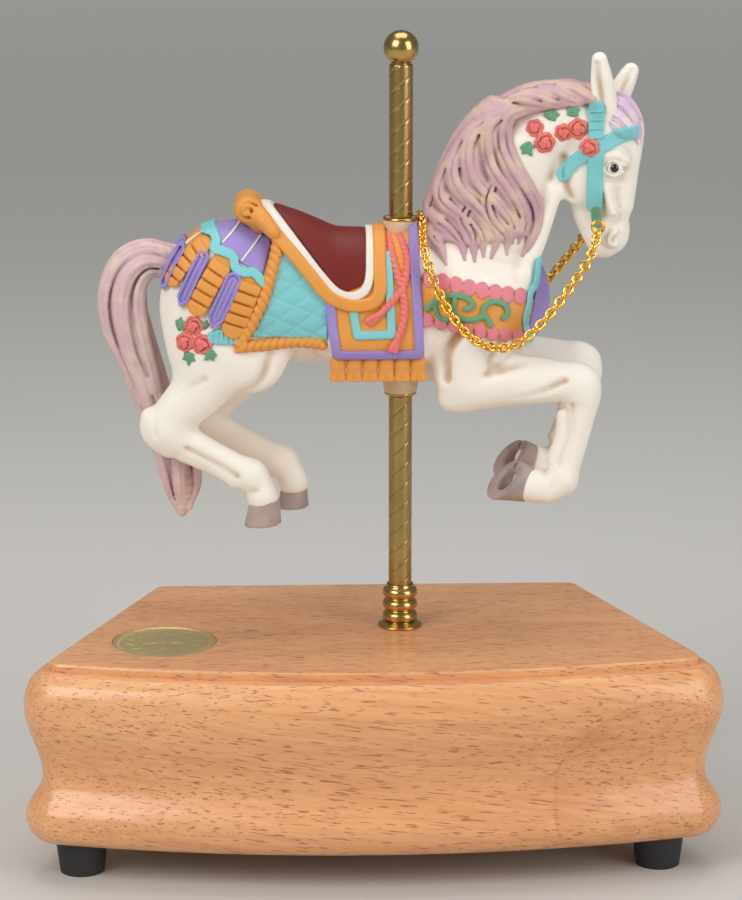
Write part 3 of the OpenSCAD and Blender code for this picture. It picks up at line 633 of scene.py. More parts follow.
def turned(x, y, z, *rest):
    """Turns a point of the head a little towards the viewer, as the horse carries it."""
    if x < HEAD_AXIS[0] - 8:
        share = 0.0
    else:
        share = min(1.0, (x - HEAD_AXIS[0] + 8) / 8)
    a = HEAD_TURN * share
    dx, dy = x - HEAD_AXIS[0], y - HEAD_AXIS[1]
    return (HEAD_AXIS[0] + dx * math.cos(a) - dy * math.sin(a),
            HEAD_AXIS[1] + dx * math.sin(a) + dy * math.cos(a), z, *rest)


head = horse.resampled((10, -20, 148), (78, 20, 222), 0.38)
T = turned
head.blob(T(62, 0, 195), (10, 7.4, 9), 3, tilt=-20)
for s in (-1, 1):
    head.blob(T(57.8, 3.9 * s, 186.5), (7.6, 3.9, 8.6), 2.5, tilt=15)
head.bone([T(62.4, 0, 192, 8), T(63.9, 0, 182, 6.2), T(64.7, 0, 173, 4.7)], 3, 0.8)
head.blob(T(64.3, 0, 169.6), (5.2, 4.8, 5.2), 2)
head.blob(T(62.6, 0, 166.4), (3.3, 3.3, 2.9), 1.5)
head.bone([T(70.4, 0, 199, 2.6), T(69.4, 0, 188, 2.4), T(68.2, 0, 178, 2.1)], 2.5)
head.bone([T(58.2, 0, 183, 5.2), T(58.6, 0, 176, 4.4), T(60.0, 0, 170.6, 3.4), T(62, 0, 167, 2.4)], 2.5,
          0.85)
for s in (-1, 1):
    head.bone([T(62.4, 6.2 * s, 191.2, 1.2), T(66, 6.2 * s, 192.2, 1.4), T(69, 4.8 * s, 190.6, 1.2)], 1.8)
    head.blob(T(66.2, 6.7 * s, 188.5), (2.9, 1.7, 2.3), 1.0, turn=14 * s, cut=True)
    head.bone([T(63.4, 6.3 * s, 188.2, 0.4), T(65.8, 6.7 * s, 190.5, 0.45), T(68.8, 5.4 * s, 189.2, 0.4)],
              0.8)
    head.bone([T(63.4, 6.3 * s, 188.0, 0.4), T(66, 6.4 * s, 186.5, 0.4), T(68.6, 5.3 * s, 187.6, 0.4)], 0.8)
    head.bone([T(64, 5.6 * s, 182.8, 0.8), T(66, 4.8 * s, 176.5, 0.9)], 2.2)
    head.bone([T(62.8, 5.9 * s, 181.5, 0.35), T(63.8, 5.0 * s, 175.5, 0.4)], 1.5, cut=True)
    head.bone([T(66.6, 4.4 * s, 171.3, 1.0), T(65.2, 5.1 * s, 169.0, 1.1), T(66.6, 4.4 * s, 167.7, 0.9)],
              0.9)
    head.bone([T(66.7, 4.9 * s, 170.1, 0.6), T(65.9, 5.2 * s, 168.9, 0.8)], 0.5, cut=True)
    head.bone([T(66.6, 3.2 * s, 165.9, 0.4), T(64.2, 4.3 * s, 166.6, 0.5), T(61.4, 4.4 * s, 169.5, 0.4)],
              0.7,
              cut=True)
    head.bone([T(58.0, 7.2 * s, 194, 0.4), T(60.6, 7.4 * s, 191, 0.4)], 1.5, cut=True)
    head.bone([T(51.5, 6.6 * s, 191, 0.4), T(51.3, 7.0 * s, 186, 0.6), T(54, 6.6 * s, 180.4, 0.5)], 2,
              cut=True)

# %% Ears
head.bone([(62.6, -5.2, 199, 2.4), (62, -6.2, 205, 3.2), (60.9, -6.8, 211, 3.1), (60, -7.2, 217.2, 2.1)],
          1.5, 0.8)
head.bone([(61.0, -8.7, 203, 0.7), (60.0, -9.0, 208, 1.5), (59.0, -8.9, 213, 1.5), (59.2, -8.6, 216, 0.9)],
          0.4, cut=True)
head.bone([(65.0, 2.5, 201, 2.6), (66.8, 3.4, 207, 3.0), (68.6, 4.1, 210.8, 2.7), (69.8, 4.6, 213.0, 2.1)],
          1.5, 0.8)
head.bone([(66.2, 0.8, 206, 0.6), (68.2, 1.4, 210, 1.2), (69.8, 2.6, 213, 0.7)], 0.5, cut=True)
head_form = head.copy()

# %% Parting the casting under the breast collar
SEAM_LOW, SEAM_SLOPE, SEAM_BACK = 156.2, -0.2, 12.2
whole = horse.copy()


def above_seam(clay):
    """Negative in the head's share of the casting: in front of the withers and above a slanting plane."""
    _, x, _, z = clay.everywhere()
    below = (SEAM_LOW + SEAM_SLOPE * (x - 30) - z) / math.hypot(1, SEAM_SLOPE)
    return np.broadcast_to(np.maximum(below, SEAM_BACK - x), clay.d.shape).astype(np.float32)


horse.d = np.maximum(horse.d, -above_seam(horse))
head.d = np.maximum(head.d, above_seam(head))

# %% The holes for the two bosses and the rod
for z0, z1, r in ((118, 134.5, 4.85), (164.4, 180, 4.85), (120, 185, 1.9)):
    horse.bone([(POLE.x, 0, z0, r), (POLE.x, 0, z1, r)], 0, cut=True, steps=1)

carried(fire(horse, "horse_casting", PORCELAIN), "porcelain",
        "horse_body", "near_foreleg", "far_foreleg", "near_hind_leg", "far_hind_leg")
carried(fire(head, "head_casting", PORCELAIN), "porcelain", "horse_head")


# %% [markdown]
# ## Hooves, eyes
# Each hoof is a short cone of its own, painted mauve, with a sole that is cut flat and a notch for the frog.

# %% Hooves
def hoof(name, coronet, sole, wide, facing):
    """A hoof from the middle of its coronet to the middle of its sole, which faces a given way."""
    a, b = np.array(coronet, float), np.array(sole, float)
    way = (b - a) / np.linalg.norm(b - a)
    out = np.array(facing, float) / np.linalg.norm(facing)
    clay = Clay(np.minimum(a, b) - 9.5, np.maximum(a, b) + 9.5, 0.3)
    clay.bone([(*(a + way * 0.8), wide * 0.84), (*(b + way * 2.0), wide * 1.08)], 0, 0.86, steps=1)
    _, x, y, z = clay.everywhere()
    above = (a[0] - x) * way[0] + (a[1] - y) * way[1] + (a[2] - z) * way[2]
    below = (x - b[0]) * out[0] + (y - b[1]) * out[1] + (z - b[2]) * out[2]
    clay.d = smooth_max(clay.d, below.astype(np.float32), 0.4)
    clay.d = smooth_max(clay.d, above.astype(np.float32), 0.4)
    heel_way = np.cross(out, (0, 1, 0)) * (1 if b[0] > 0 else -1)
    clay.blob(b + out * 0.6, (wide * 0.62, wide * 0.5, wide * 0.62), 0.5, cut=True)
    for turn in (-0.3, 0.3):
        heel = b - heel_way * wide + np.array([0, turn * wide, 0])
        clay.bone([(*b, 0.4), (*heel, 0.7)], 0.4, cut=True, steps=1)
    return fire(clay, name, HOOF_PAINT, 1.0)


FOLDED, HANGING = (-0.70, -0.34, 0.63), (0.06, 0.0, -1.0)
HOOVES = [((42.8, -9.0, 102.4), (36.2, -9.2, 104.2), 6.0, FOLDED),
          ((45.2, 9.0, 104.2), (39.0, 8.8, 106.0), 5.8, FOLDED),
          ((-29.0, -10.4, 99.4), (-29.6, -10.4, 92.2), 4.9, HANGING),
          ((-20.9, 10.4, 98.0), (-21.2, 10.4, 91.6), 4.3, HANGING)]
for i, (coronet, sole, wide, facing) in enumerate(HOOVES):
    carried(hoof(f"hoof_{i + 1}", coronet, sole, wide, facing), "porcelain")


# %% Eyes
def eye_material():
    """Black glaze."""
    material, _, shader, _ = new_material("eye glaze")
    shader.inputs["Base Color"].default_value = linear(22, 18, 18)
    shader.inputs["Roughness"].default_value = 0.12
    shader.inputs["Coat Weight"].default_value = 0.8
    return material


EYE = eye_material()
for side, label in ((-1, "near"), (1, "far")):
    ball = Clay((56, -16, 180), (76, 14, 194), 0.25)
    ball.blob(T(66.3, 5.0 * side, 188.5), (2.3, 2.0, 2.0), 0)
    carried(fire(ball, label + "_eyeball", PORCELAIN, 0.8), "porcelain")
    pupil = Clay((56, -16, 180), (76, 14, 194), 0.16)
    pupil.blob(T(66.5, 6.5 * side, 188.6), (1.2, 0.8, 1.2), 0)
    carried(fire(pupil, label + "_pupil", EYE, 0.5), "porcelain")


# %% Outlines in side view
def strip(points, width, taper=0.0, smooth=4):
    """A band along a side-view path. Gives the distance to its edge and how far along it one is."""
    path = curve_points(points, smooth)

    def shape(x, z):
        best = np.full(np.broadcast(x, z).shape, 1e3)
        along = np.zeros_like(best)
        run = 0.0
        for a, b in zip(path[:-1], path[1:]):
            v = b - a
            length = math.hypot(*v) + 1e-9
            t = np.clip(((x - a[0]) * v[0] + (z - a[1]) * v[1]) / length ** 2, 0, 1)
            d = np.hypot(x - a[0] - t * v[0], z - a[1] - t * v[1])
            along = np.where(d < best, run + t * length, along)
            best = np.minimum(best, d)
            run += length
        half = np.full_like(best, width / 2)
        if taper:
            half = half * np.clip((run - along) / taper, 0.02, 1)
        return best - half, along

    shape.box = (path.min(0) - width, path.max(0) + width)
    return shape


def outline(points):
    """A closed outline in side view."""
    path = np.array(points, float)

    def shape(x, z):
        best = np.full(np.broadcast(x, z).shape, 1e3)
        inside = np.zeros(best.shape, bool)
        for a, b in zip(path, np.roll(path, -1, 0)):
            v = b - a
            t = np.clip(((x - a[0]) * v[0] + (z - a[1]) * v[1]) / (v @ v + 1e-9), 0, 1)
            best = np.minimum(best, np.hypot(x - a[0] - t * v[0], z - a[1] - t * v[1]))
            if a[1] != b[1]:
                crosses = ((a[1] > z) != (b[1] > z)) & (x < (b[0] - a[0]) * (z - a[1]) / (b[1] - a[1]) + a[0])
                inside ^= crosses
        return np.where(inside, -best, best), best

    shape.box = (path.min(0), path.max(0))
    return shape


def either(*shapes):
    """Any of several outlines."""
    def shape(x, z):
        found = [one(x, z) for one in shapes]
        nearest = found[0]
        for other in found[1:]:
            nearest = (np.minimum(nearest[0], other[0]),
                       np.where(other[0] < nearest[0], other[1], nearest[1]))
        return nearest

    shape.box = (np.min([one.box[0] for one in shapes], 0), np.max([one.box[1] for one in shapes], 0))
    return shape


# %% [markdown]
# ## Mane, forelock and tail
# Carved hair is a bundle of thick, S-shaped locks. Each lock lies on the form below it, swells in its middle
# and ends in a point. Shallow grooves run along it, and the mauve wash settles in them.

# %% Locks
HALF_WIDTH = 21
PROBES = 106


def on_surface(form, points, side, lift=0.3, fallback=None, smooth=6):
    """Lays a side-view path on a form's flank. Points that miss take the fallback, or are left out."""
    path = curve_points(points, smooth)
    depth = np.linspace(HALF_WIDTH, 0, PROBES)
    laid = []
    for x, z in path:
        line = np.column_stack([np.full(PROBES, x), side * depth, np.full(PROBES, z)])
        inside = np.nonzero(form.sample(line) < 0)[0]
        if len(inside) or fallback is not None:
            y = depth[inside[0]] if len(inside) else fallback
            laid.append((x, side * (y + lift), z))
    laid = np.array(laid)
    for _ in range(3):
        laid[1:-1, 1] = (laid[:-2, 1] + 2 * laid[1:-1, 1] + laid[2:, 1]) / 4
    return laid


def lock(clay, path, wide, k=0.8, strands=2, depth=0.3, tip=0.5):
    """One carved lock along a path of points in space."""
    n = len(path)
    t = np.linspace(0, 1, n)
    swell = wide * (0.66 + 0.38 * np.sin(math.pi * t ** 0.8)) * (1 - 0.8 * t ** 5)
    swell = np.maximum(swell, tip)
    clay.bone(np.column_stack([path, swell]), k, steps=1)
    way = np.gradient(path, axis=0)
    way /= np.linalg.norm(way, axis=1)[:, None] + 1e-9
    out = np.column_stack([0 * t, np.where(path[:, 1] < 0, -1.0, 1.0), 0 * t])
    across = np.cross(way, out)
    across /= np.linalg.norm(across, axis=1)[:, None] + 1e-9
    for j in range(strands):
        offset = (j + 0.5) / strands * 2 - 1
        line = path + across * (swell * offset * 0.85)[:, None]
        line = line + out * (swell * math.sqrt(1 - 0.7 * offset ** 2))[:, None]
        groove = np.where(clay.sample(line) > -0.4, np.clip(swell * 0.16, 0.1, depth), -1.0)
        clay.bone(np.column_stack([line[2:-2], groove[2:-2]]), 0.5, cut=True, steps=1)


# %% Mane
mane = head_form.resampled((8, -22, 158), (66, 20, 216), 0.38)
mane.bone([(57, -1, 206.5, 4.8), (50, -1, 207, 5), (42, -1, 206.3, 4.8), (35, -1, 202, 5), (29.5, 0, 195, 6),
           (26, 0, 186, 7), (24, 0, 177, 7.6), (23, 0, 170, 7.4), (24, 0, 165, 7)], 1.5)
mane_form = mane.copy()
mane.d[:] = FAR
mane.bone([(57.5, -1, 206, 4.6), (50, -1, 206.6, 4.8), (42, -1, 205.8, 4.6), (35, -1, 201.5, 5),
           (29.5, 0, 194.5, 6),
           (26, 0, 186, 7), (24, 0, 177, 7.6), (23, 0, 170, 7.4), (24, 0, 166, 6.6)], 1.5)
MANE_FILL = outline([(37, 204), (37.4, 196), (40, 188.5), (44, 181.5), (44, 176.5), (41.5, 170.5),
                     (34, 169.5),
                     (26, 168.5), (20, 169), (14, 171), (12, 185), (20, 200), (30, 208), (37, 206)])
_, x, _, z = mane.everywhere()
inside = MANE_FILL(x[:, :, 0], z[:, 0, :])[0][:, None, :].astype(np.float32)
mane.d = smooth_min(mane.d, smooth_max(mane_form.d - 1.4, inside, 1.5), 0.6)
MANE_LOCKS = [
    ([(42.4, 204.6), (36.9, 203.2), (34.6, 199.3), (35, 193.6), (37.8, 187.9), (41, 183.1), (43.4, 178.3),
      (43.8, 173.5), (42, 168.2), (40.1, 165.2)], 2.7),
    ([(35, 203), (31.6, 200), (30.8, 196.4), (32.2, 189.3), (36, 183.6), (39.2, 178.3), (40.4, 173.5),
      (39, 168.5)], 2.8),
    ([(31, 201), (27.6, 198), (25.8, 193.5), (26.6, 186.9), (30, 182.2), (34.1, 177.8), (37, 173.5),
      (37.4, 168.8)], 2.8),
    ([(27, 198), (23.8, 193.5), (22, 187.9), (23.6, 183.1), (27.6, 179.3), (31.2, 175), (33.2, 170.7),
      (31.6, 165)], 2.8),
    ([(23, 192), (20.2, 186.9), (18.8, 181.7), (21.5, 178.3), (25.8, 175), (29, 170.7), (29.6, 165.5)], 2.7),
    ([(20, 186), (17.8, 181), (16.6, 176.4), (20.4, 173.1), (23.6, 169.2), (24.6, 164.6)], 2.5),
    ([(17, 179), (15.8, 174), (15.5, 170.2), (18, 167.4), (19.6, 163.4)], 2.3),
    ([(33, 186), (31, 180), (32.4, 175), (35.6, 171), (35.8, 165.8)], 2.1),
    ([(26, 179), (24.4, 175.6), (26.6, 171), (27.2, 164.2)], 2.1)]
CREST_LOCKS = [
    ([(58.5, 206.8), (56, 207.8), (53.4, 209.4), (49.5, 210.6)], 2.0),
    ([(54.8, 206), (51.6, 207), (48.6, 208.6), (44.5, 210)], 2.1),
    ([(50.4, 205.6), (46.8, 206.4), (43.6, 207.8), (39.6, 208.8)], 2.2),
    ([(46, 205.2), (42, 206), (38.6, 206.6), (35, 205.8)], 2.3)]
for side in (-1, 1):
    for path, wide in MANE_LOCKS + CREST_LOCKS:
        lock(mane, on_surface(mane_form, path, side, 0.1, 3.0), wide)
mane.d = np.maximum(mane.d, edge_of_block(mane))
carried(fire(mane, "carved_mane", MANE_PAINT, 1.3), "mane_paint", "mane")

# %% Forelock
forelock = Clay((56, -14, 186), (78, 11, 214), 0.3)
forelock.bone([(63.2, -1, 202.6, 4.3), (66.6, -2, 202, 4.1), (69, -2.8, 199, 3.4)], 0.8)
for path, wide in [
        ([(62.5, -3, 206), (65.4, -6, 205.6), (68.4, -6.8, 202.8), (70.6, -6, 198.6), (71.6, -4.6, 193.8)],
         1.7),
        ([(62.3, -5, 203), (64.8, -7.2, 202.4), (67.4, -7.6, 200), (69.4, -7, 197.4), (70.6, -5.8, 194.6)],
         1.6),
        ([(63.6, -1, 207), (67, -3, 206.4), (69.8, -3.8, 203), (71.6, -3.3, 198.8), (72.2, -2.8, 193.8)],
         1.6),
        ([(63.6, 3, 206), (67.2, 2.5, 205.4), (70.4, 1, 202), (72, 0, 197.6), (72.4, -0.8, 194)], 1.7),
        ([(62.4, -6.2, 201.2), (64.4, -7.6, 200), (66.4, -7.8, 198.2), (67.8, -7.4, 196.6)], 1.4)]:
    lock(forelock, curve_points(path, 6), wide, 0.6)
carried(fire(forelock, "forelock", FORELOCK_PAINT, 0.9), "mane_paint")

# %% Tail
tail = Clay((-80, -11, 86), (-38, 11, 174), 0.4)
tail.bone([(-52, 0, 163, 4.4), (-59, 0, 163.4, 4.6), (-64.4, 0, 160, 5.2), (-66.6, 0, 153, 5.8),
           (-65.4, 0, 145, 6.2), (-62, 0, 134, 5.8), (-58, 0, 122, 5.4), (-54, 0, 110, 5.2),
           (-51.8, 0, 101, 3.8), (-51.4, 0, 93.6, 1.2)], 1, 0.9)
tail_form = tail.copy()
TAIL_LOCKS = [
    ([(-54, 165.5), (-61, 166.4), (-67.4, 163), (-71, 155), (-70.6, 146), (-67, 136), (-62.4, 125)], 2.5),
    ([(-55, 163), (-60.6, 163.4), (-65, 160), (-67.2, 153), (-66.2, 143), (-62.6, 131), (-59.4, 119)], 2.5),
    ([(-55.6, 160.6), (-60, 160.4), (-62.8, 155.6), (-62.6, 147), (-60, 136), (-57, 125), (-54, 114)], 2.4),
    ([(-66, 140), (-61, 128), (-58, 117), (-56.4, 107), (-54.4, 98), (-52.2, 93)], 2.1),
    ([(-60, 131), (-55.4, 120), (-52.6, 110), (-52.2, 101), (-51.6, 93)], 2.1),
    ([(-57, 124), (-51.4, 115.6), (-48.4, 107.6), (-47.8, 101), (-49.6, 94.6)], 1.9)]
for side in (-1, 1):
    for path, wide in TAIL_LOCKS:
        lock(tail, on_surface(tail_form, path, side, -0.4, 1.5), wide, tip=0.7)
carried(fire(tail, "carved_tail", TAIL_PAINT, 1.3), "mane_paint", "tail")

# %% [markdown]
# ## Harness
# The saddle, the blanket and the straps are moulded on the body, so each is a thin shell that follows the
# clay under it. Its outline is drawn as a side view, in x and z, and cut through to both flanks. A separate
# shell for each colour keeps the paint lines sharp, as a careful painter does.

# %% Paints
PAINT = {name: bisque(name + " paint", linear(*rgb), wash, amount, 0.12, 0.48) for name, rgb, wash,
         amount in [
    ("orange", (232, 158, 72), linear(150, 78, 25), 0.8),
    ("red", (118, 28, 20), linear(66, 20, 18), 0.6),
    ("ivory", (238, 232, 220), BROWN_WASH, 0.7),
    ("lavender", (160, 142, 210), linear(92, 72, 130), 0.7),
    ("turquoise", (132, 208, 212), linear(70, 130, 140), 0.8),
    ("coral", (236, 126, 116), linear(150, 52, 50), 0.9),
    ("pink", (228, 134, 146), linear(160, 70, 80), 0.8),
    ("green", (106, 164, 128), linear(50, 100, 75), 0.9)]}


# %% Shells on the body
def relief(name, form, shape, rise, paint, slot, nodes=(), step=0.35, edge=0.35, under=0.6, pattern=None,
           flank=0.0):
    """A painted shell that stands 'rise' above a form, inside a side-view outline."""
    low = (shape.box[0][0] - 1.5, -21.5, shape.box[0][1] - 1.5)
    high = (shape.box[1][0] + 1.5, 21.5, shape.box[1][1] + 1.5)
    low = np.maximum(low, form.low)
    high = np.minimum(high, form.low + (form.size - 1) * form.step)
    clay = form.resampled(low, high, step)
    _, x, y, z = clay.everywhere()
    flat, along = shape(x[:, :, 0], z[:, 0, :])
    height = rise if pattern is None else rise + pattern(x[:, :, 0], z[:, 0, :], flat, along)
    height = np.broadcast_to(height, flat.shape)
    bound = flat[:, None, :].astype(np.float32)
    base = clay.d
    clay.d = smooth_max(base - height[:, None, :].astype(np.float32), bound, edge)
    clay.d = np.maximum(clay.d, -base - under)
    if flank:
        clay.d = np.maximum(clay.d, flank - np.abs(y))
    clay.d = np.maximum(clay.d, edge_of_block(clay))
    return carried(fire(clay, name, PAINT[paint], 0.8, 3.0), slot, *nodes)


def grooves(spacing, depth):
    """Cross grooves along a strip."""
    def pattern(x, z, flat, along):
        return -depth * np.exp(-(np.sin(math.pi * along / spacing) / 0.28) ** 2)

    return pattern


def quilting(x, z, flat, along):
    """Diamonds between two families of slanting lines."""
    slants = ((25, 5.0), (-38, 4.6))
    away = [np.abs(np.sin(math.pi * (x * math.sin(math.radians(a)) + z * math.cos(math.radians(a))) / pitch))
            for a, pitch in slants]
    nearest = np.minimum(away[0], away[1])
    return 0.45 * np.clip(nearest, 0, 1) ** 0.4 - 0.12


# %% The form under the saddle
seat_form = whole.copy()
seat_form.bone([(-29, 0, 162.6, 14.8), (-25, 0, 161.2, 14.8), (-20.7, 0, 159.4, 14.8),
                (-15.6, 0, 157.2, 14.8),
                (-10.5, 0, 156, 14.8), (-0.8, 0, 155.6, 14.8), (6, 0, 155.6, 14.8)], 2.5, 0.9)

# %% Blanket at the saddle
FLAP = [(-12.6, 156), (-12.4, 150), (-10.8, 138.6), (13.8, 138.6), (12.7, 158.9), (12.3, 166), (12.3, 180),
        (-1, 180), (-1, 160)]
relief("blanket_flap", seat_form, outline(FLAP), 0.9, "orange", "blanket_paint", ["saddle_blanket"], 0.4)
BORDER = strip([(-11.3, 155), (-10.9, 148), (-9.6, 139.9), (0, 139.9), (12.4, 139.9), (11.9, 150),
                (11.5, 159),
                (11.1, 166), (11.1, 178)], 2.6, smooth=1)
relief("blanket_border", seat_form, BORDER, 1.6, "lavender", "blanket_paint")
U_BAND = strip([(-5.2, 152), (-4.2, 145.4), (5.0, 145.6), (4.7, 151.7), (4.3, 159), (4.1, 166)], 2.3,
               smooth=1)
relief("blanket_band", seat_form, U_BAND, 1.5, "turquoise", "blanket_paint")

# %% Quilted panel
PANEL = outline([(-23, 172), (-25.2, 164), (-26.8, 157), (-29.4, 150.5), (-32.4, 145), (-12, 143.8),
                 (-12, 154),
                 (-16, 160), (-20, 167)])
relief("quilted_panel", seat_form, PANEL, 0.45, "turquoise", "blanket_paint", [], 0.3, pattern=quilting)

# %% Rump drape
DRAPE = outline([(-50, 182), (-25, 182), (-26.4, 170.2), (-29, 161.6), (-34.5, 164.4), (-40.1, 168.6),
                 (-43.1, 171.4), (-47, 173)])
relief("drape_panel", whole, DRAPE, 0.7, "lavender", "drape_paint", ["rump_drape"], 0.4)
RAYS = either(strip([(-33.8, 175.2), (-39.7, 169.8)], 0.55), strip([(-28.6, 172.2), (-34.7, 165.3)], 0.55),
              strip([(-38.5, 177.5), (-44, 172.6)], 0.5))
relief("drape_rays", whole, RAYS, 1.0, "ivory", "drape_paint", [], 0.25, 0.15)
WAVE = strip([(-52, 173.6), (-48.5, 174.2), (-45.4, 173), (-42.6, 172.4), (-41.4, 170.3), (-42, 168.6),
              (-39.1, 167.6), (-36.9, 166.4), (-36.4, 163.8), (-34.1, 162.4), (-31.5, 162.3), (-29, 159.6)],
              2.4)
relief("drape_ribbon", whole, WAVE, 1.4, "turquoise", "drape_paint", [], 0.3)
LOBES = either(strip([(-44.6, 169.4), (-48.9, 165.8), (-53.2, 160.2)], 4.2),
               strip([(-39.9, 164.8), (-43.2, 159.6), (-46.4, 153.8)], 5.7),
               strip([(-32.4, 159.8), (-34.6, 154.2), (-36.8, 148.2)], 6.6))
relief("drape_lobes", whole, LOBES, 1.5, "orange", "drape_paint", [], 0.3, 0.5, pattern=grooves(3.0, 0.8),
       flank=3.0)
LAPPETS = either(strip([(-45, 166.4), (-47.8, 161), (-51.4, 153.2)], 3.3, 2.4),
                 strip([(-37, 160.4), (-39.6, 155), (-43, 147.8)], 4.4, 3.0),
                 strip([(-50.8, 168), (-53.6, 163.4), (-56.4, 157)], 2.2, 2.0))


def rimmed(x, z, flat, along):
    """A raised rim around a sunk middle."""
    return -0.7 * np.clip((-flat - 0.55) / 0.35, 0, 1) + 0.5 * np.exp(-((flat + 1.6) / 0.4) ** 2)


relief("drape_lappets", whole, LAPPETS, 1.7, "lavender", "drape_paint", [], 0.28, 0.25, pattern=rimmed,
       flank=3.0)

# %% Breast collar
COLLAR = outline([(12, 159.5), (18.7, 158.6), (27.5, 156.6), (36.5, 154.8), (41.5, 153.6), (50, 154),
                  (50, 142.6),
                  (41, 143.6), (34.8, 144.4), (22.1, 148), (12, 150.4)])
relief("collar_band", whole, COLLAR, 0.8, "orange", "collar_paint", ["breast_collar"], 0.4, flank=2.0)


def scallops(start, end, count, radius, drop):
    """A row of round petals between two points in side view."""
    discs = []
    for i in range(count):
        t = (i + 0.5) / count
        x, z = start[0] + (end[0] - start[0]) * t, start[1] + (end[1] - start[1]) * t
        discs.append(strip([(x, z - drop), (x, z)], 2 * radius, smooth=1))
    return either(*discs)


relief("collar_scallops", whole, either(scallops((13.4, 160.6), (41.2, 154.9), 8, 1.75, 0.9),
                                        scallops((12.8, 149.2), (40.6, 143.4), 8, 1.6, -0.9)),
       1.15, "pink", "collar_paint", [], 0.3, 0.5, flank=2.0)
VINE = either(strip([(14.2, 152.4), (17.5, 155), (21.5, 156), (25, 155.2), (26.4, 153.3), (24.6, 152.4)],
                    1.5),
              strip([(21.6, 154.6), (21.2, 151.8), (23.2, 149.9), (26.6, 149.5), (29.6, 150.4), (31.2, 148)],
                    1.5),
              strip([(29.2, 150.6), (29.6, 153), (32.2, 154.2), (35, 153.2), (36, 151), (34.8, 149.6)], 1.5),
              strip([(16.4, 153.4), (17.2, 150.6), (19.4, 149.4)], 1.3))
relief("collar_vine", whole, VINE, 1.6, "green", "collar_paint", [], 0.28, 0.4, flank=2.0)
relief("collar_shield", whole, outline([(43.6, 161), (50, 161), (50, 141), (43.4, 141.5), (41.6, 145),
                                        (42.6, 150),
                                        (43.6, 155)]), 1.1, "lavender", "collar_paint", [], 0.35)
relief("collar_ribbon", whole, strip([(44.6, 164), (43.9, 158), (42.3, 155.4), (41.9, 152.5), (41, 148.6),
                                      (41.6, 145), (44, 140.5)], 1.7), 1.5, "turquoise", "collar_paint", [],
                                      0.3,
       flank=2.0)

# %% Saddle
SEAT = outline([(-28.4, 184), (-1.2, 184), (-1.4, 172.4), (-1.6, 160.3), (-3.4, 158), (-6.7, 156.8),
                (-9.9, 158.1),
                (-13.5, 162.8), (-19, 170), (-24, 176), (-28, 180)])
relief("saddle_seat", seat_form, SEAT, 1.2, "red", "saddle_paint", ["saddle"], 0.4)
PIPING = strip([(-29, 184), (-28.4, 179.2), (-24.5, 174.6), (-19.5, 168.4), (-13.7, 161), (-9.6, 156.8),
                (-5.9, 155.6), (-2.4, 157), (-0.9, 160.5), (-0.6, 166.2), (-0.4, 172.3), (-0.4, 180)], 2.3)
relief("saddle_piping", seat_form, PIPING, 1.7, "ivory", "saddle_paint", [], 0.3)
RIM = strip([(-31, 178.5), (-29.9, 176.7), (-25.9, 172.4), (-20.9, 166.8), (-15.8, 160.6), (-11.8, 155.9),
             (-7.7, 153.8), (-3.7, 153.3), (0.2, 154.3), (1.9, 157.6), (1.9, 163.7), (1.9, 172.5),
             (1.9, 180)], 3.5)
relief("saddle_rim", seat_form, RIM, 2.2, "orange", "saddle_paint", [], 0.35, 0.9)

# %% Cantle scroll
cantle = Clay((-40, -15, 166), (-22, 15, 184), 0.33)
cantle.bone([(-33, -6.2, 177.6, 3.7), (-33, 6.2, 177.6, 3.7)], 0, steps=1)
cantle.bone([(-29.6, -7, 174.2, 2.8), (-29.6, 7, 174.2, 2.8)], 2, steps=1)
for side in (-1, 1):
    cantle.bone([(-31.6, 6.8 * side, 177, 2.9), (-29.2, 9.8 * side, 175.6, 2.5),
                 (-26.2, 12.2 * side, 172.4, 1.8)], 1.5)
    coil = []
    for i in range(24):
        a = math.radians(-50 + i * 25)
        r = 3.2 - 2.6 * i / 23
        coil.append((-33.2 + r * math.cos(a), side * (6.3 + math.sqrt(3.7 ** 2 - r * r)),
                     177.6 + r * math.sin(a), 0.5))
    cantle.bone(coil, 0.5, cut=True, steps=2)
carried(fire(cantle, "cantle_scroll", PAINT["orange"], 1.0), "saddle_paint")


# %% Ropes and tassels
def twisted(clay, path, radius, pitch, strands=2):
    """Strands that wind around a path."""
    steps = np.linalg.norm(np.diff(path, axis=0), axis=1)
    run = np.concatenate([[0], np.cumsum(steps)])
    at = np.arange(0, run[-1], pitch / 9)
    p = np.column_stack([np.interp(at, run, path[:, a]) for a in range(3)])
    way = np.gradient(p, axis=0)
    way /= np.linalg.norm(way, axis=1)[:, None]
    side = np.cross(way, (0, 1, 0.01))
    side /= np.linalg.norm(side, axis=1)[:, None]
    up = np.cross(side, way)
    for s in range(strands):
        a = 2 * math.pi * (at / pitch + s / strands)
        line = p + radius * 0.45 * (side * np.cos(a)[:, None] + up * np.sin(a)[:, None])
        for i in range(0, len(line) - 1, 6):
            part = line[i:i + 7]
            if len(part) > 1:
                clay.bone(np.column_stack([part, np.full(len(part), radius * 0.62)]), 0, steps=1)


def ropes(name, form, paths, radius, pitch, paint, slot, step=0.3, lift=0.4):
    """Twisted ropes on both flanks, as one piece."""
    laid = [on_surface(form, path, side, lift) for path in paths for side in (-1, 1)]
    every = np.vstack(laid)
    clay = Clay(every.min(0) - 3, every.max(0) + 3, step)
    for path in laid:
        twisted(clay, path, radius, pitch)
    return carried(fire(clay, name, PAINT[paint], 0.7, 3.0), slot)


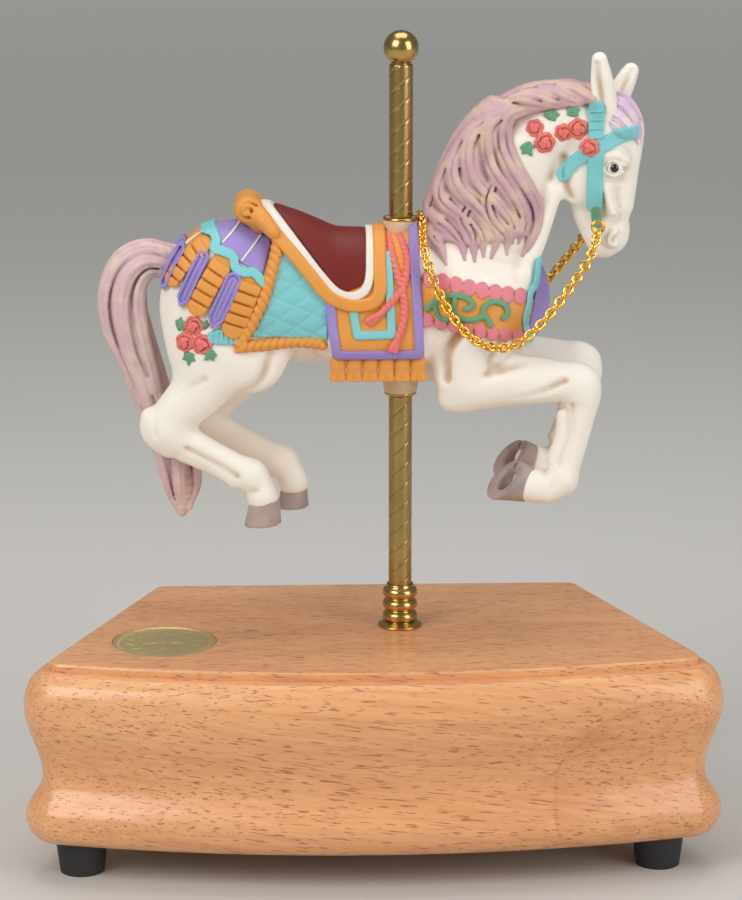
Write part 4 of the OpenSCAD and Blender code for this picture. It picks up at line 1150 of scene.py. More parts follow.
ropes("panel_rope", seat_form, [
    [(-24.8, 172), (-25.4, 168), (-26.5, 163.2), (-29.1, 155), (-32.6, 147.8), (-35.6, 143.2)],
    [(-35.8, 142.6), (-28.1, 142.8), (-21, 143.2), (-12.6, 142.6)]], 1.7, 4.2, "orange", "blanket_paint")
ropes("pink_ropes", seat_form, [
    [(4.4, 172), (5.1, 166.6), (6.6, 161), (7.7, 157.4), (8.4, 152.7), (7.8, 148), (6.6, 145)],
    [(6.4, 172.3), (8.9, 166.6), (9.2, 163), (7.9, 157.9), (5.1, 154.3), (2.6, 151.8)]],
    1.15, 3.2, "coral", "blanket_paint", 0.28, 1.2)

# %% Tassels and fringe
def tassel(clay, top, bottom, wide):
    """A knot with a skirt of cords below it."""
    a, b = np.array(top, float), np.array(bottom, float)
    clay.bone([(*a, wide * 0.72), (*(a + (b - a) * 0.25), wide * 0.6)], 0.3, steps=1)
    clay.bone([(*(a + (b - a) * 0.3), wide * 0.62), (*(a + (b - a) * 0.6), wide * 0.95), (*b, wide)], 0.3,
              0.75,
              steps=1)
    way = (b - a) / np.linalg.norm(b - a)
    side = np.cross(way, (0, 1, 0))
    out = np.array([0, math.copysign(1, a[1]), 0])
    for offset in (-0.66, -0.22, 0.22, 0.66):
        high = a + (b - a) * 0.4 + side * offset * wide * 0.7 + out * wide * 0.62
        low = b + way * wide + side * offset * wide * 1.15 + out * wide * 0.62
        clay.bone([(*high, 0.16), (*low, 0.3)], 0.2, cut=True, steps=1)
    clay.bone([(*(b + way * wide * 1.6), wide * 1.1), (*(b + way * wide * 3), wide * 1.6)], 0.4, cut=True,
              steps=1)


rope_ends = Clay((-3, -21, 138), (11, 21, 155), 0.28)
for side in (-1, 1):
    for (x, z), (dx, dz) in (((6.6, 145.2), (-1.3, -3.6)), ((2.4, 151.6), (-3.4, -2.6))):
        x0, y0, z0 = on_surface(seat_form, [(x, z), (x + 0.1, z - 0.1)], side, 1.6, 14)[0]
        tassel(rope_ends, (x0, y0, z0), (x0 + dx, y0 + 0.2 * side, z0 + dz), 1.35)
carried(fire(rope_ends, "rope_tassels", PAINT["coral"], 0.7), "blanket_paint")


# %% One tassel of the fringe, repeated by geometry nodes
def plain_copy(source, name):
    """A new object with the evaluated mesh of another, and the other removed."""
    bpy.context.view_layer.update()
    graph = bpy.context.evaluated_depsgraph_get()
    mesh = bpy.data.meshes.new_from_object(source.evaluated_get(graph))
    mesh.name = name
    made = bpy.data.objects.new(name, mesh)
    bpy.context.scene.collection.objects.link(made)
    bpy.data.objects.remove(source)
    return made


def repeat_group():
    """Geometry nodes that set copies of a piece at equal steps along a curve, every other one turned."""
    tree = bpy.data.node_groups.new("repeat along a curve", "GeometryNodeTree")
    for label, kind, default in (("Curve", "NodeSocketGeometry", None), ("Piece", "NodeSocketObject", None),
                                 ("Count", "NodeSocketInt", 10), ("Turn", "NodeSocketFloat", 0.0),
                                 ("Turn every other", "NodeSocketFloat", 0.0),
                                 ("Finish", "NodeSocketMaterial", None)):
        socket = tree.interface.new_socket(label, in_out="INPUT", socket_type=kind)
        if default is not None:
            socket.default_value = default
    tree.interface.new_socket("Geometry", in_out="OUTPUT", socket_type="NodeSocketGeometry")
    n = Nodes(tree)
    enter, leave = n.add("NodeGroupInput"), n.add("NodeGroupOutput")
    points = n.add("GeometryNodeCurveToPoints", {"Curve": enter.outputs["Curve"],
                                                 "Count": enter.outputs["Count"]},
                   mode="COUNT")
    index = n.add("GeometryNodeInputIndex").outputs[0]
    odd = n.math("MODULO", index, 2.0)
    angle = n.math("MULTIPLY_ADD", odd, enter.outputs["Turn every other"], enter.outputs["Turn"])
    turn = n.add("FunctionNodeAxisAngleToRotation", {"Axis": (0, 0, 1), "Angle": angle})
    both = n.add("FunctionNodeRotateRotation", {"Rotation": points.outputs["Rotation"],
                                                "Rotate By": turn.outputs[0]}, rotation_space="LOCAL")
    piece = n.add("GeometryNodeObjectInfo", {"Object": enter.outputs["Piece"]})
    copies = n.add("GeometryNodeInstanceOnPoints", {"Points": points.outputs["Points"],
                                                    "Instance": piece.outputs["Geometry"],
                                                    "Rotation": both.outputs[0]})
    real = n.add("GeometryNodeRealizeInstances", {"Geometry": copies.outputs[0]})
    painted = n.add("GeometryNodeSetMaterial", {"Geometry": real.outputs[0],
                                                "Material": enter.outputs["Finish"]})
    tree.links.new(painted.outputs[0], leave.inputs[0])
    return tree


REPEAT = repeat_group()


def repeated(name, path, piece, count, finish, turn=0.0, every_other=0.0):
    """Copies of a piece along a path in metres, as one plain mesh. The piece points along its own Z."""
    curve = bpy.data.curves.new(name + " path", "CURVE")
    curve.dimensions = "3D"
    curve.twist_mode = "Z_UP"
    line = curve.splines.new("POLY")
    line.points.add(len(path) - 1)
    for point, place in zip(line.points, path):
        point.co = (*place, 1)
    holder = bpy.data.objects.new(name + " path", curve)
    bpy.context.scene.collection.objects.link(holder)
    modifier = holder.modifiers.new("repeat", "NODES")
    modifier.node_group = REPEAT
    values = {"Piece": piece, "Count": count, "Turn": turn, "Turn every other": every_other,
              "Finish": finish}
    for item in REPEAT.interface.items_tree:
        if item.item_type == "SOCKET" and item.in_out == "INPUT" and item.name in values:
            modifier[item.identifier] = values[item.name]
    made = plain_copy(holder, name)
    made.data.materials.clear()
    made.data.materials.append(finish)
    made.data.shade_smooth()
    return made


def world_path(path):
    """From mm about the pole to metres in the frame."""
    return [(x * MM, (y + POLE.y) * MM, z * MM) for x, y, z in path]


one = Clay((-4, -4, -8), (4, 4, 3), 0.26)
one.bone([(0, 0, -0.1, 2.1), (0, 0, -1.1, 2.15)], 0.3, 0.7, steps=1)
one.bone([(0, 0, -3.0, 2.05), (0, 0, -4.6, 2.4)], 0.4, 0.7, steps=1)
one.bone([(-3, -1.7, -2.3, 0.35), (3, -1.7, -2.3, 0.35)], 0.3, cut=True, steps=1)
for offset in (-1.35, -0.45, 0.45, 1.35):
    one.bone([(offset * 0.8, -1.45, -2.6, 0.25), (offset, -1.6, -6, 0.4)], 0.2, cut=True, steps=1)
one.bone([(-3, 0, -7.4, 2.4), (3, 0, -7.4, 2.4)], 0.4, cut=True, steps=1)
fringe_tassel = fire(one, "fringe_tassel", PAINT["orange"], 0.7)
turned_up = Matrix.Translation((0, -POLE.y * MM, 0))
fringe_tassel.data.transform(turned_up)
for side, label in ((-1, "near"), (1, "far")):
    laid = on_surface(seat_form, [(-9.3, 139.2), (1.5, 139.2), (12.2, 139.2)], side, -0.4, 13)
    fringe_path = world_path([(x, y, 137.6) for x, y, z in laid])
    for i in range(6):
        t = i / 5 * (len(fringe_path) - 1)
        low, share = int(min(t, len(fringe_path) - 2)), t - int(min(t, len(fringe_path) - 2))
        place = Vector(fringe_path[low]).lerp(Vector(fringe_path[low + 1]), share)
        hang = fringe_tassel.copy()
        hang.data = fringe_tassel.data.copy()
        hang.name = f"{label}_fringe_{i + 1}"
        spin = Matrix.Rotation(math.pi if side > 0 else 0, 4, "Z")
        hang.data.transform(Matrix.Translation(place) @ spin)
        bpy.context.scene.collection.objects.link(hang)
        carried(hang, "blanket_paint")
bpy.data.objects.remove(fringe_tassel)


# %% [markdown]
# ## Bridle, roses and leaves
# The straps are shells like the rest of the harness. The roses and leaves are modelled once each, and copies
# are pressed into the near flank of the horse, each with its own turn and size.

# %% Bridle
bridle_form = head_form.copy()
bridle_form.d = np.minimum(head_form.d, forelock.resampled(head_form.low, head_form.low, head_form.step,
                                                           head_form.size).d)
relief("cheek_strap", head_form, either(
    strip([(59.2, 196), (59.2, 186), (59.3, 178.4)], 4.2, smooth=1),
    strip([(59.4, 204.6), (59.3, 200), (59.2, 195)], 3.9, smooth=1)), 0.9, "turquoise", "bridle_paint",
    ["bridle"], 0.3, 0.3, flank=2.0)
relief("brow_band", bridle_form, either(
    strip([(60.2, 194.8), (63, 196.8), (66, 198.2), (69.8, 198.9)], 2.2),
    strip([(60.6, 193.6), (64.2, 195.4), (67.4, 196.6), (69.6, 197.2)], 2.0)), 0.8, "turquoise",
    "bridle_paint", [], 0.3, 0.4)
relief("throat_latch", head_form, strip([(59.6, 194.0), (57, 192.6), (54.2, 190.6), (52, 188.4),
                                         (50.9, 186.6)], 3.5),
       0.9, "turquoise", "bridle_paint", [], 0.3, 0.35, flank=2.0)
relief("strap_keepers", head_form, either(*[strip([(57.7, 203.6 - i * 2.3), (61, 203.9 - i * 2.3)], 0.55,
                                                  smooth=1)
                                                for i in range(4)]),
       1.3, "turquoise", "bridle_paint", [], 0.22, 0.2, flank=2.0)
relief("strap_loop", head_form, strip([(59.8, 177), (60.2, 173.4)], 2.4, smooth=1), 1.1, "green",
       "bridle_paint",
       [], 0.25, 0.3, flank=2.0)


# %% A rose
def rose_mesh():
    """A carved rose that faces -Y, in metres about its own middle."""
    rose = Clay((-4, -4, -4), (4, 3, 4), 0.17)
    rose.blob((0, 0.2, 0), (2.45, 1.9, 2.45), 0)
    for count, reach, wide, high in ((6, 1.5, 1.1, -0.5), (4, 0.8, 0.9, -1.2)):
        for i in range(count):
            a = 2 * math.pi * i / count + reach
            rose.blob((reach * math.cos(a), high, reach * math.sin(a)), (wide, 0.9, wide), 0.3)
    rose.blob((0, -1.8, 0), (0.7, 0.7, 0.7), 0.3)
    for start, far, near in ((0.0, 1.9, -1.2), (2.1, 1.9, -1.2), (4.2, 1.9, -1.2), (1.0, 1.05, -1.95),
                             (3.1, 1.05, -1.95), (5.2, 0.95, -1.95)):
        turns = [start + 0.3 * i for i in range(8)]
        rose.bone([((far - 0.09 * i) * math.cos(a), near - 0.06 * i, (far - 0.09 * i) * math.sin(a),
                    0.16 + 0.02 * i)
                   for i, a in enumerate(turns)], 0.12, cut=True, steps=2)
    rose.blob((0.1, -2.4, 0), (0.3, 0.4, 0.3), 0.15, cut=True)
    made = fire(rose, "rose", PAINT["coral"], 0.5, 4)
    made.data.transform(Matrix.Translation((0, -POLE.y * MM, 0)))
    return made


def leaf_mesh():
    """An ivy leaf with five points and ribs, facing -Y."""
    leaf = Clay((-4, -2, -4), (4, 2, 4), 0.18)
    for a, reach in ((90, 2.6), (30, 2.1), (150, 2.1), (-25, 1.6), (205, 1.6)):
        a = math.radians(a)
        leaf.bone([(0, 0, 0, 0.95), (reach * 0.6 * math.cos(a), -0.15, reach * 0.6 * math.sin(a), 0.62),
                   (reach * math.cos(a), 0, reach * math.sin(a), 0.2)], 0.3, 0.7)
        leaf.bone([(0, -0.75, 0, 0.12), (reach * 0.8 * math.cos(a), -0.5, reach * 0.8 * math.sin(a), 0.1)],
                  0.1,
                  cut=True, steps=1)
    made = fire(leaf, "leaf", PAINT["green"], 0.4, 4)
    made.data.transform(Matrix.Translation((0, -POLE.y * MM, 0)))
    return made


def sprinkle(name, source, form, places, slot, nodes=(), sink=0.6):
    """Copies of one ornament pressed into a form's near flank, each with its own turn and size."""
    points, faces, hollow = [], [], []
    base = np.empty(len(source.data.vertices) * 3)
    source.data.vertices.foreach_get("co", base)
    base = base.reshape(-1, 3)
    dents = np.empty(len(base))
    source.data.attributes["hollow"].data.foreach_get("value", dents)
    quads = [tuple(p.vertices) for p in source.data.polygons]
    for x, z, spin, size in places:
        at = on_surface(form, [(x, z), (x + 0.1, z)], -1, 0, 8)[0]
        near = np.array([at + [0.5, 0, 0], at - [0.5, 0, 0], at + [0, 0.5, 0], at - [0, 0.5, 0],
                         at + [0, 0, 0.5], at - [0, 0, 0.5]])
        d = form.sample(near)
        normal = Vector((d[0] - d[1], d[2] - d[3], d[4] - d[5])).normalized()
        facing = normal.to_track_quat("-Y", "Z").to_matrix()
        place = Vector(world_path([at])[0]) - normal * sink * MM
        matrix = Matrix.Translation(place) @ facing.to_4x4() @ Matrix.Rotation(spin, 4,
                                                                               "Y") @ Matrix.Scale(size, 4)
        m = np.array(matrix)
        start = len(points)
        points.extend(base @ m[:3, :3].T + m[:3, 3])
        faces.extend([tuple(v + start for v in face) for face in quads])
        hollow.extend(dents)
    made = mesh_object(name, points, faces)
    made.data.attributes.new("hollow", "FLOAT", "POINT").data.foreach_set("value",
                                                                          np.array(hollow, np.float32))
    made.data.materials.append(source.data.materials[0])
    return carried(made, slot, *nodes)


rose, leaf = rose_mesh(), leaf_mesh()
sprinkle("head_roses", rose, head_form, [(43.2, 199.2, 0.2, 0.98), (45.8, 195.4, 1.4, 1.14),
                                         (50.7, 198, 2.2, 0.98),
                                         (54.6, 199, 0.9, 1.14)], "rose_paint", ["rose_sprays"])
sprinkle("strap_rose", rose, head_form, [(58, 194.3, 2.9, 1.02)], "rose_paint", [], -0.6)
sprinkle("head_leaves", leaf, head_form, [(47.4, 202.4, 0.4, 1.15), (53.2, 203.2, 0.1, 1.0),
                                          (41, 194.2, 2.6, 1.05)],
         "rose_paint", [], -0.1)
sprinkle("hip_roses", rose, whole, [(-47.6, 148.2, 0.5, 1.08), (-49.9, 143.8, 1.9, 1.1),
                                    (-45.4, 143.5, 2.7, 1.15)],
         "rose_paint")
sprinkle("hip_leaves", leaf, whole, [(-51.2, 148.2, 1.2, 1.0), (-48.8, 140, 3.2, 1.0), (-43, 141, 3.9, 0.95),
                                     (-44.4, 148.4, -0.8, 0.75)], "rose_paint", [], -0.1)
relief("hip_bow", whole, either(strip([(-42.2, 145.4), (-39, 145.2), (-36.4, 145.2)], 3.6),
                                strip([(-42, 147), (-36, 147.3)], 0.9, smooth=1)),
       1.0, "turquoise", "drape_paint", [], 0.25, 0.4, pattern=grooves(1.3, 0.35), flank=3.0)
bpy.data.objects.remove(rose)
bpy.data.objects.remove(leaf)

# %% [markdown]
# ## The gilt chain
# The rein is a real chain: oval links, each turned a quarter round from the one before, hung from the wire
# rings at the bridle and laid over the withers.

# %% Metal finishes
def metal(name, colour, roughness, wear=0.1, dark=(0.05, 0.035, 0.02, 1), fine=900.0, scratch=0.00001):
    """A metal with slow changes of tone and small scratches."""
    material, n, shader, place = new_material(name)
    uneven = use_group(n, UNEVEN, {"Vector": place, "Fine": fine, "Broad": 90.0})
    tone = n.math("MULTIPLY", uneven.outputs["Tone"], wear * 2)
    n.tree.links.new(n.mix(tone, colour, dark), shader.inputs["Base Color"])
    rough = n.math("MULTIPLY_ADD", uneven.outputs["Tone"], 0.2, roughness - 0.1)
    n.tree.links.new(rough, shader.inputs["Roughness"])
    shader.inputs["Metallic"].default_value = 1.0
    bump(n, shader, uneven.outputs["Height"], scratch)
    return material


GILT = metal("gilt", linear(255, 204, 92), 0.18, 0.03)
BRASS = metal("brass", linear(206, 172, 104), 0.22, 0.12)
POLE_BRASS = metal("pole brass", linear(190, 162, 102), 0.3, 0.2)
MEDAL_BRASS = metal("medal brass", linear(250, 228, 168), 0.5, 0.1)

# %% Links
REIN = [(60.2, -9.8, 171.4), (57.5, -13, 165), (52.5, -15.6, 158), (46, -17.6, 150), (40, -18.6, 144.5),
        (35.5, -19.2, 142.4), (30, -19.6, 143), (25, -19.6, 146), (20, -19.2, 152), (16, -17.6, 160),
        (13.6, -14.6, 167.5), (13.4, -9.6, 172.6), (13.7, -5, 174.4), (13.9, 0, 175)]
LINK_HALF, LINK_WIDE, WIRE = 1.42, 1.1, 0.42


def chain_link():
    """One oval link along Z, in metres."""
    around, section = 20, 8
    points, faces = [], []
    for i in range(around):
        a = 2 * math.pi * i / around
        middle = Vector((LINK_WIDE * math.sin(a), 0, LINK_HALF * math.cos(a)))
        out = Vector((math.sin(a), 0, math.cos(a)))
        for j in range(section):
            b = 2 * math.pi * j / section
            points.append((middle + out * WIRE * math.cos(b) + Vector((0, WIRE * math.sin(b), 0))) * MM)
            k = (i + 1) % around
            faces.append((i * section + j, i * section + (j + 1) % section,
                          k * section + (j + 1) % section, k * section + j))
    return mesh_object("link", points, faces)


rein_path = curve_points(REIN + [(x, -y, z) for x, y, z in REIN[-2:0:-1]] + [(60.2, 6.2, 171.4)], 8)
rein_length = np.linalg.norm(np.diff(rein_path, axis=0), axis=1).sum()
link = chain_link()
chain = repeated("rein_chain_links", world_path(rein_path), link, int(rein_length / 1.95), GILT,
                 math.radians(40), math.radians(90))
bpy.data.objects.remove(link)
carried(chain, "gilt", "rein_chain")
print("chain:", round(rein_length), "mm,", len(chain.data.polygons), "faces")


# %% [markdown]
# ## The pole
# Thin brass tube over a threaded rod, with three engraved lines that climb round it.

# %% Engraved tubes
STARTS, LEAD = 3, 16.5


def engraved_tube(name, node, material):
    """A tube with helical lines cut into it, open at both ends over the rod."""
    low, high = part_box(node)
    radius, z0, z1 = (high.x - low.x) / 2 / MM, low.z / MM, high.z / MM
    around, levels = 108, int((z1 - z0) / 0.33) + 1
    points = []
    for i in range(levels):
        z = z0 + (z1 - z0) * i / (levels - 1)
        for j in range(around):
            a = 2 * math.pi * j / around
            phase = (z / LEAD - a / (2 * math.pi)) * STARTS
            off = abs(phase - round(phase)) * LEAD / STARTS
            r = radius - 0.16 * math.exp(-(off / 0.2) ** 2) - 0.3 * (i in (0, levels - 1))
            points.append((r * math.cos(a), r * math.sin(a), z))
    for z in (z1, z0):
        points += [(2.4 * math.cos(2 * math.pi * j / around), 2.4 * math.sin(2 * math.pi * j / around), z)
                   for j in range(around)]
    faces = []
    for i in range(levels + 1):
        for j in range(around):
            k = (j + 1) % around
            faces.append((i * around + j, i * around + k, (i + 1) * around + k, (i + 1) * around + j))
    last = levels + 1
    faces += [(last * around + j, last * around + (j + 1) % around, (j + 1) % around,
               j) for j in range(around)]
    made = mesh_object(name, world_path([(x + POLE.x, y, z) for x, y, z in points]), faces)
    made.data.materials.append(material)
    return made


carried(engraved_tube("upper_pole", "upper_pole_tube", POLE_BRASS), "pole_brass", "upper_pole_tube")
carried(engraved_tube("lower_pole", "lower_pole_tube", POLE_BRASS), "pole_brass", "lower_pole_tube")


# %% Turned pieces on the pole
def turned_piece(name, profile, material, around=96):
    """A closed profile of (radius, height) turned about the pole."""
    n = len(profile)
    points = [(POLE.x + r * math.cos(2 * math.pi * j / around), r * math.sin(2 * math.pi * j / around), z)
              for j in range(around) for r, z in profile]
    faces = []
    for j in range(around):
        k = (j + 1) % around
        for i in range(n):
            m = (i + 1) % n
            faces.append((j * n + i, k * n + i, k * n + m, j * n + m))
    made = mesh_object(name, world_path(points), faces)
    made.data.materials.append(material)
    return made


def arc(centre, radius, start, end, steps=10):
    """Points on an arc in the profile, angles in degrees."""
    return [(centre[0] + radius * math.cos(math.radians(start + (end - start) * i / steps)),
             centre[1] + radius * math.sin(math.radians(start + (end - start) * i / steps)))
            for i in range(steps + 1)]


COLLAR_LOW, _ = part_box("pole_collar")
top = COLLAR_LOW.z / MM
bore = 3.26
collar_profile = [(bore, top), (5.7, top)] + arc((5.75, top + 0.35), 0.35, -80, 90, 6) + \
    arc((4.6, top + 1.2), 0.3, 60, 170, 4)
for step in (3.0, 6.4, 9.8):
    collar_profile += arc((3.15, top + step), 1.68, -68, 68, 14)
collar_profile += [(3.75, top + 11.8), (3.65, top + 12.15), (bore, top + 12.2)]
collar_piece = turned_piece("turned_collar", collar_profile, BRASS)
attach(collar_piece, "base")
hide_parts("pole_collar")


# %% Cream bosses with a gold edge
CREAM = bisque("cream", linear(226, 204, 164), BROWN_WASH, 0.6)
BACK_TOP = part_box("back_washer")[1].z / MM
BELLY_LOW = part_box("belly_washer")[0].z / MM
back_profile = [(1.85, BACK_TOP - 10), (4.7, BACK_TOP - 10)] + arc((4.2, BACK_TOP - 0.5), 0.55, 0, 90, 6) + \
    [(3.9, BACK_TOP - 0.05), (1.85, BACK_TOP - 0.05)]
belly_profile = [(1.85, BELLY_LOW), (4.0, BELLY_LOW)] + arc((3.9, BELLY_LOW + 0.4), 0.4, -80, 10, 4) + \
    [(4.78, BELLY_LOW + 2.4), (4.78, BELLY_LOW + 8.3), (1.85, BELLY_LOW + 8.3)]
carried(turned_piece("back_boss", back_profile, CREAM), "cream_washer", "back_washer")
carried(turned_piece("belly_boss", belly_profile, CREAM), "cream_washer", "belly_washer")
gold_edges = turned_piece("boss_edges", arc((4.35, BACK_TOP - 0.35), 0.52, 0, 360, 12)[:-1], BRASS)
carried(gold_edges, "brass")
carried(turned_piece("belly_edge", arc((3.95, BELLY_LOW + 0.35), 0.5, 0, 360, 12)[:-1], BRASS), "brass")


# %% [markdown]
# ## The wooden base
# A solid block, moulded all round and bowed at its front. The outline at each height is the top's outline
# grown by the moulding's reach, so the corners stay round all the way down.

# %% Moulding and outline
BASE_H = BASE_HIGH.z - BASE_LOW.z
LIP = BASE_H - 2.4
CORNER_R = 4.0
CORNER_FRONT, CORNER_BACK = Vector((83.0, -28.5)), Vector((57.5, 39.0))
FRONT_Y = -43.0
BOW_H = CORNER_FRONT.y - FRONT_Y
BOW_R = (CORNER_FRONT.x ** 2 + BOW_H ** 2 - CORNER_R ** 2) / (2 * (BOW_H - CORNER_R))


def moulding(z):
    """How far the side stands out from the top's outline, at a height above the underside."""
    if z <= 7:
        return 2 + 5.2 * math.sqrt(max(0, 1 - (1 - z / 7) ** 2))
    if z <= 18:
        return 4.8 + 2.4 * math.cos(math.pi * (z - 7) / 11)
    if z <= 37.5:
        return 4.7 - 2.3 * math.cos(math.pi * (z - 18) / 19.5)
    if z < LIP:
        return 0.4 + 6.6 * math.sqrt(max(0, 1 - ((z - 37.5) / (LIP - 37.5 + 0.4)) ** 2))
    return 0.0


def half_outline(grow):
    """The right half of the outline, from the middle of the front round to the back."""
    bow = Vector((0, FRONT_Y + BOW_R))
    side = CORNER_BACK - CORNER_FRONT
    a1 = math.atan2(CORNER_FRONT.y - bow.y, CORNER_FRONT.x)
    a2 = math.atan2(-side.x, side.y)
    arcs = ((bow, BOW_R + grow, -math.pi / 2, a1, 22), (CORNER_FRONT, CORNER_R + grow, a1, a2, 12),
            (CORNER_BACK, CORNER_R + grow, a2, math.pi / 2, 12))
    points = []
    for centre, radius, start, end, steps in arcs:
        for i in range(steps + 1):
            a = start + (end - start) * i / steps
            points.append((centre.x + radius * math.cos(a), centre.y + radius * math.sin(a)))
    return points


def base_block():
    """The outside of the block as a closed skin."""
    heights = [0, 0.2, 0.6, 1.2, 2] + [3 + 0.9 * i for i in range(48)]
    heights = [z for z in heights if z < LIP - 0.5] + [LIP - 0.35, LIP - 0.12, LIP, LIP + 0.25]
    rings = [(z, moulding(z)) for z in heights]
    rings += [(BASE_H - 0.9 + 0.9 * math.sin(a), -0.9 + 0.9 * math.cos(a))
              for a in [math.radians(15 * i) for i in range(7)]]
    points, faces = [], []
    for z, grow in rings:
        right = half_outline(grow)
        loop = right + [(-x, y) for x, y in right[::-1][1:-1]]
        points += [(x * MM, y * MM, (BASE_LOW.z + z) * MM) for x, y in loop]
    n = len(points) // len(rings)
    for i in range(len(rings) - 1):
        for j in range(n):
            k = (j + 1) % n
            faces.append((i * n + j, i * n + k, (i + 1) * n + k, (i + 1) * n + j))
    faces.append(tuple(range(n))[::-1])
    faces.append(tuple((len(rings) - 1) * n + j for j in range(n)))
    return mesh_object("moulded_base", points, faces)


# %% Hollows of the base
def cutter(name, points, faces):
    """A closed cutting tool from points in mm."""
    made = mesh_object(name, [(x * MM, y * MM, z * MM) for x, y, z in points], faces, False)
    made.data.update()
    return made


def round_cutter(name, centre, radius, z0, z1, around=64):
    """An upright cylinder used as a cutting tool."""
    ring = [(centre[0] + radius * math.cos(2 * math.pi * i / around),
             centre[1] + radius * math.sin(2 * math.pi * i / around)) for i in range(around)]
    points = [(x, y, z) for z in (z0, z1) for x, y in ring]
    faces = [(i, (i + 1) % around, around + (i + 1) % around, around + i) for i in range(around)]
    faces += [tuple(range(around))[::-1], tuple(range(around, 2 * around))]
    return cutter(name, points, faces)


def slab_cutter(name, low, high, corner, z0, z1):
    """A rounded rectangle used as a cutting tool."""
    ring = []
    for cx, cy, start in ((high[0] - corner, high[1] - corner, 0), (low[0] + corner, high[1] - corner, 90),
                          (low[0] + corner, low[1] + corner, 180), (high[0] - corner, low[1] + corner, 270)):
        ring += [(cx + corner * math.cos(math.radians(start + 15 * i)),
                  cy + corner * math.sin(math.radians(start + 15 * i))) for i in range(7)]
    n = len(ring)
    points = [(x, y, z) for z in (z0, z1) for x, y in ring]
    faces = [(i, (i + 1) % n, n + (i + 1) % n, n + i) for i in range(n)]
    faces += [tuple(range(n))[::-1], tuple(range(n, 2 * n))]
    return cutter(name, points, faces)


MEDAL_LOW, MEDAL_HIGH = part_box("medallion")
MEDAL = (MEDAL_LOW + MEDAL_HIGH) / 2 / MM
MEDAL_R = (MEDAL_HIGH.x - MEDAL_LOW.x) / 2 / MM
BASE_TOP = BASE_HIGH.z
tools = [slab_cutter("plate recess", (-66, -33), (66, 27.5), 5, BASE_LOW.z - 1, BASE_LOW.z + 3.5),
         slab_cutter("movement room", (-60, -27), (60, 22.5), 6, BASE_LOW.z - 0.5, BASE_TOP - 9),
         round_cutter("guide hole", (POLE.x, POLE.y), 4.5, BASE_TOP - 12, BASE_TOP + 1),
         round_cutter("medal recess", (MEDAL.x, MEDAL.y), MEDAL_R + 0.15, BASE_TOP - 0.8, BASE_TOP + 1)]
for x, y in ((-79.5, -26), (77.5, -26), (-52, 36), (52, 36)):
    tools.append(round_cutter("foot hole", (x, y), 1.32, BASE_LOW.z - 1, BASE_LOW.z + 10, 20))
for x, y in ((-63, -24), (63, -24), (-63, 18), (63, 18), (0, -29.9), (0, 24.4)):
    tools.append(round_cutter("plate screw hole", (x, y), 1.42, BASE_LOW.z - 0.2, BASE_LOW.z + 12, 20))
block = base_block()
for tool in tools:
    carve = block.modifiers.new("cut", "BOOLEAN")
    carve.operation = "DIFFERENCE"
    carve.solver = "EXACT"
    carve.object = tool
wooden = plain_copy(block, "wooden_base_block")
for tool in tools:
    bpy.data.objects.remove(tool)
print("base:", len(wooden.data.polygons), "faces")


# %% Wood
def wood():
    """Straight-grained, open-pored wood along X, under a clear lacquer."""
    material, n, shader, place = new_material("lacquered wood")
    x, _, z = n.add("ShaderNodeSeparateXYZ", {0: place}).outputs
    grain = n.add("ShaderNodeMapping", {"Vector": place, "Rotation": (0, math.radians(-6), 0)}).outputs[0]

    def stretched(scale, detail):
        """Noise drawn out along the grain."""
        where = n.add("ShaderNodeMapping", {"Vector": grain, "Scale": scale}).outputs[0]
        return n.add("ShaderNodeTexNoise", {"Vector": where, "Scale": 1.0, "Detail": detail}).outputs[0]

    broad = stretched((7, 60, 60), 2.0)
    streaks = stretched((30, 700, 700), 4.0)
    crowd = stretched((20, 150, 150), 1.0)
    pore_noise = stretched((165, 2150, 2150), 1.0)
    pores = n.ramp(n.math("MULTIPLY_ADD", crowd, 0.09, pore_noise), [(0.665, (0, 0, 0)), (0.715, (1, 1, 1))])
    tone = n.math("MULTIPLY_ADD", broad, 0.5, n.math("MULTIPLY", streaks, 0.5))
    tint = n.ramp(tone, [(0.3, linear(240, 180, 128)), (0.5, linear(228, 164, 112)),
                         (0.7, linear(208, 142, 94))])
    across = n.math("SUBTRACT", x, 0.074)
    up = n.math("SUBTRACT", z, 0.024)
    reach = n.math("SQRT", n.math("ADD", n.math("MULTIPLY", across, across), n.math("MULTIPLY", up, up)))
    heart = n.math("MULTIPLY_ADD", broad, 0.006, reach)
    edge = n.ramp(n.math("MULTIPLY", heart, 20.0), [(0.40, (0, 0, 0)), (0.585, (0.45, 0.45, 0.45)),
                                                     (0.60, (1, 1, 1)), (0.615, (0, 0, 0))])
    figured = n.mix(n.math("MULTIPLY", edge, 0.35), tint, linear(196, 112, 74))
    face = n.math("MULTIPLY", n.math("SUBTRACT", z, BASE_TOP - 0.0016), 1600.0, clamp=True)
    toned = n.mix(n.math("MULTIPLY", face, 0.55), figured, linear(196, 130, 92))
    colour = n.mix(n.math("MULTIPLY", pores, 0.68), toned, linear(150, 80, 44))
    n.tree.links.new(colour, shader.inputs["Base Color"])
    shader.inputs["Roughness"].default_value = 0.38
    shader.inputs["Coat Weight"].default_value = 0.35
    shader.inputs["Coat Roughness"].default_value = 0.12
    bump(n, shader, n.math("SUBTRACT", streaks, pores), 0.00004, 0.6)
    return material


WOOD = wood()
wooden.data.materials.clear()
wooden.data.materials.append(WOOD)
for polygon in wooden.data.polygons:
    polygon.use_smooth = True
wooden.data.set_sharp_from_angle(angle=math.radians(35))
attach(wooden, "base")
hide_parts("wooden_base")


# %% [markdown]
# ## The medallion
# The real one is struck with small lettering. Here it carries a plain ornament: a beaded rim, a ring of
# leaves and a rosette.

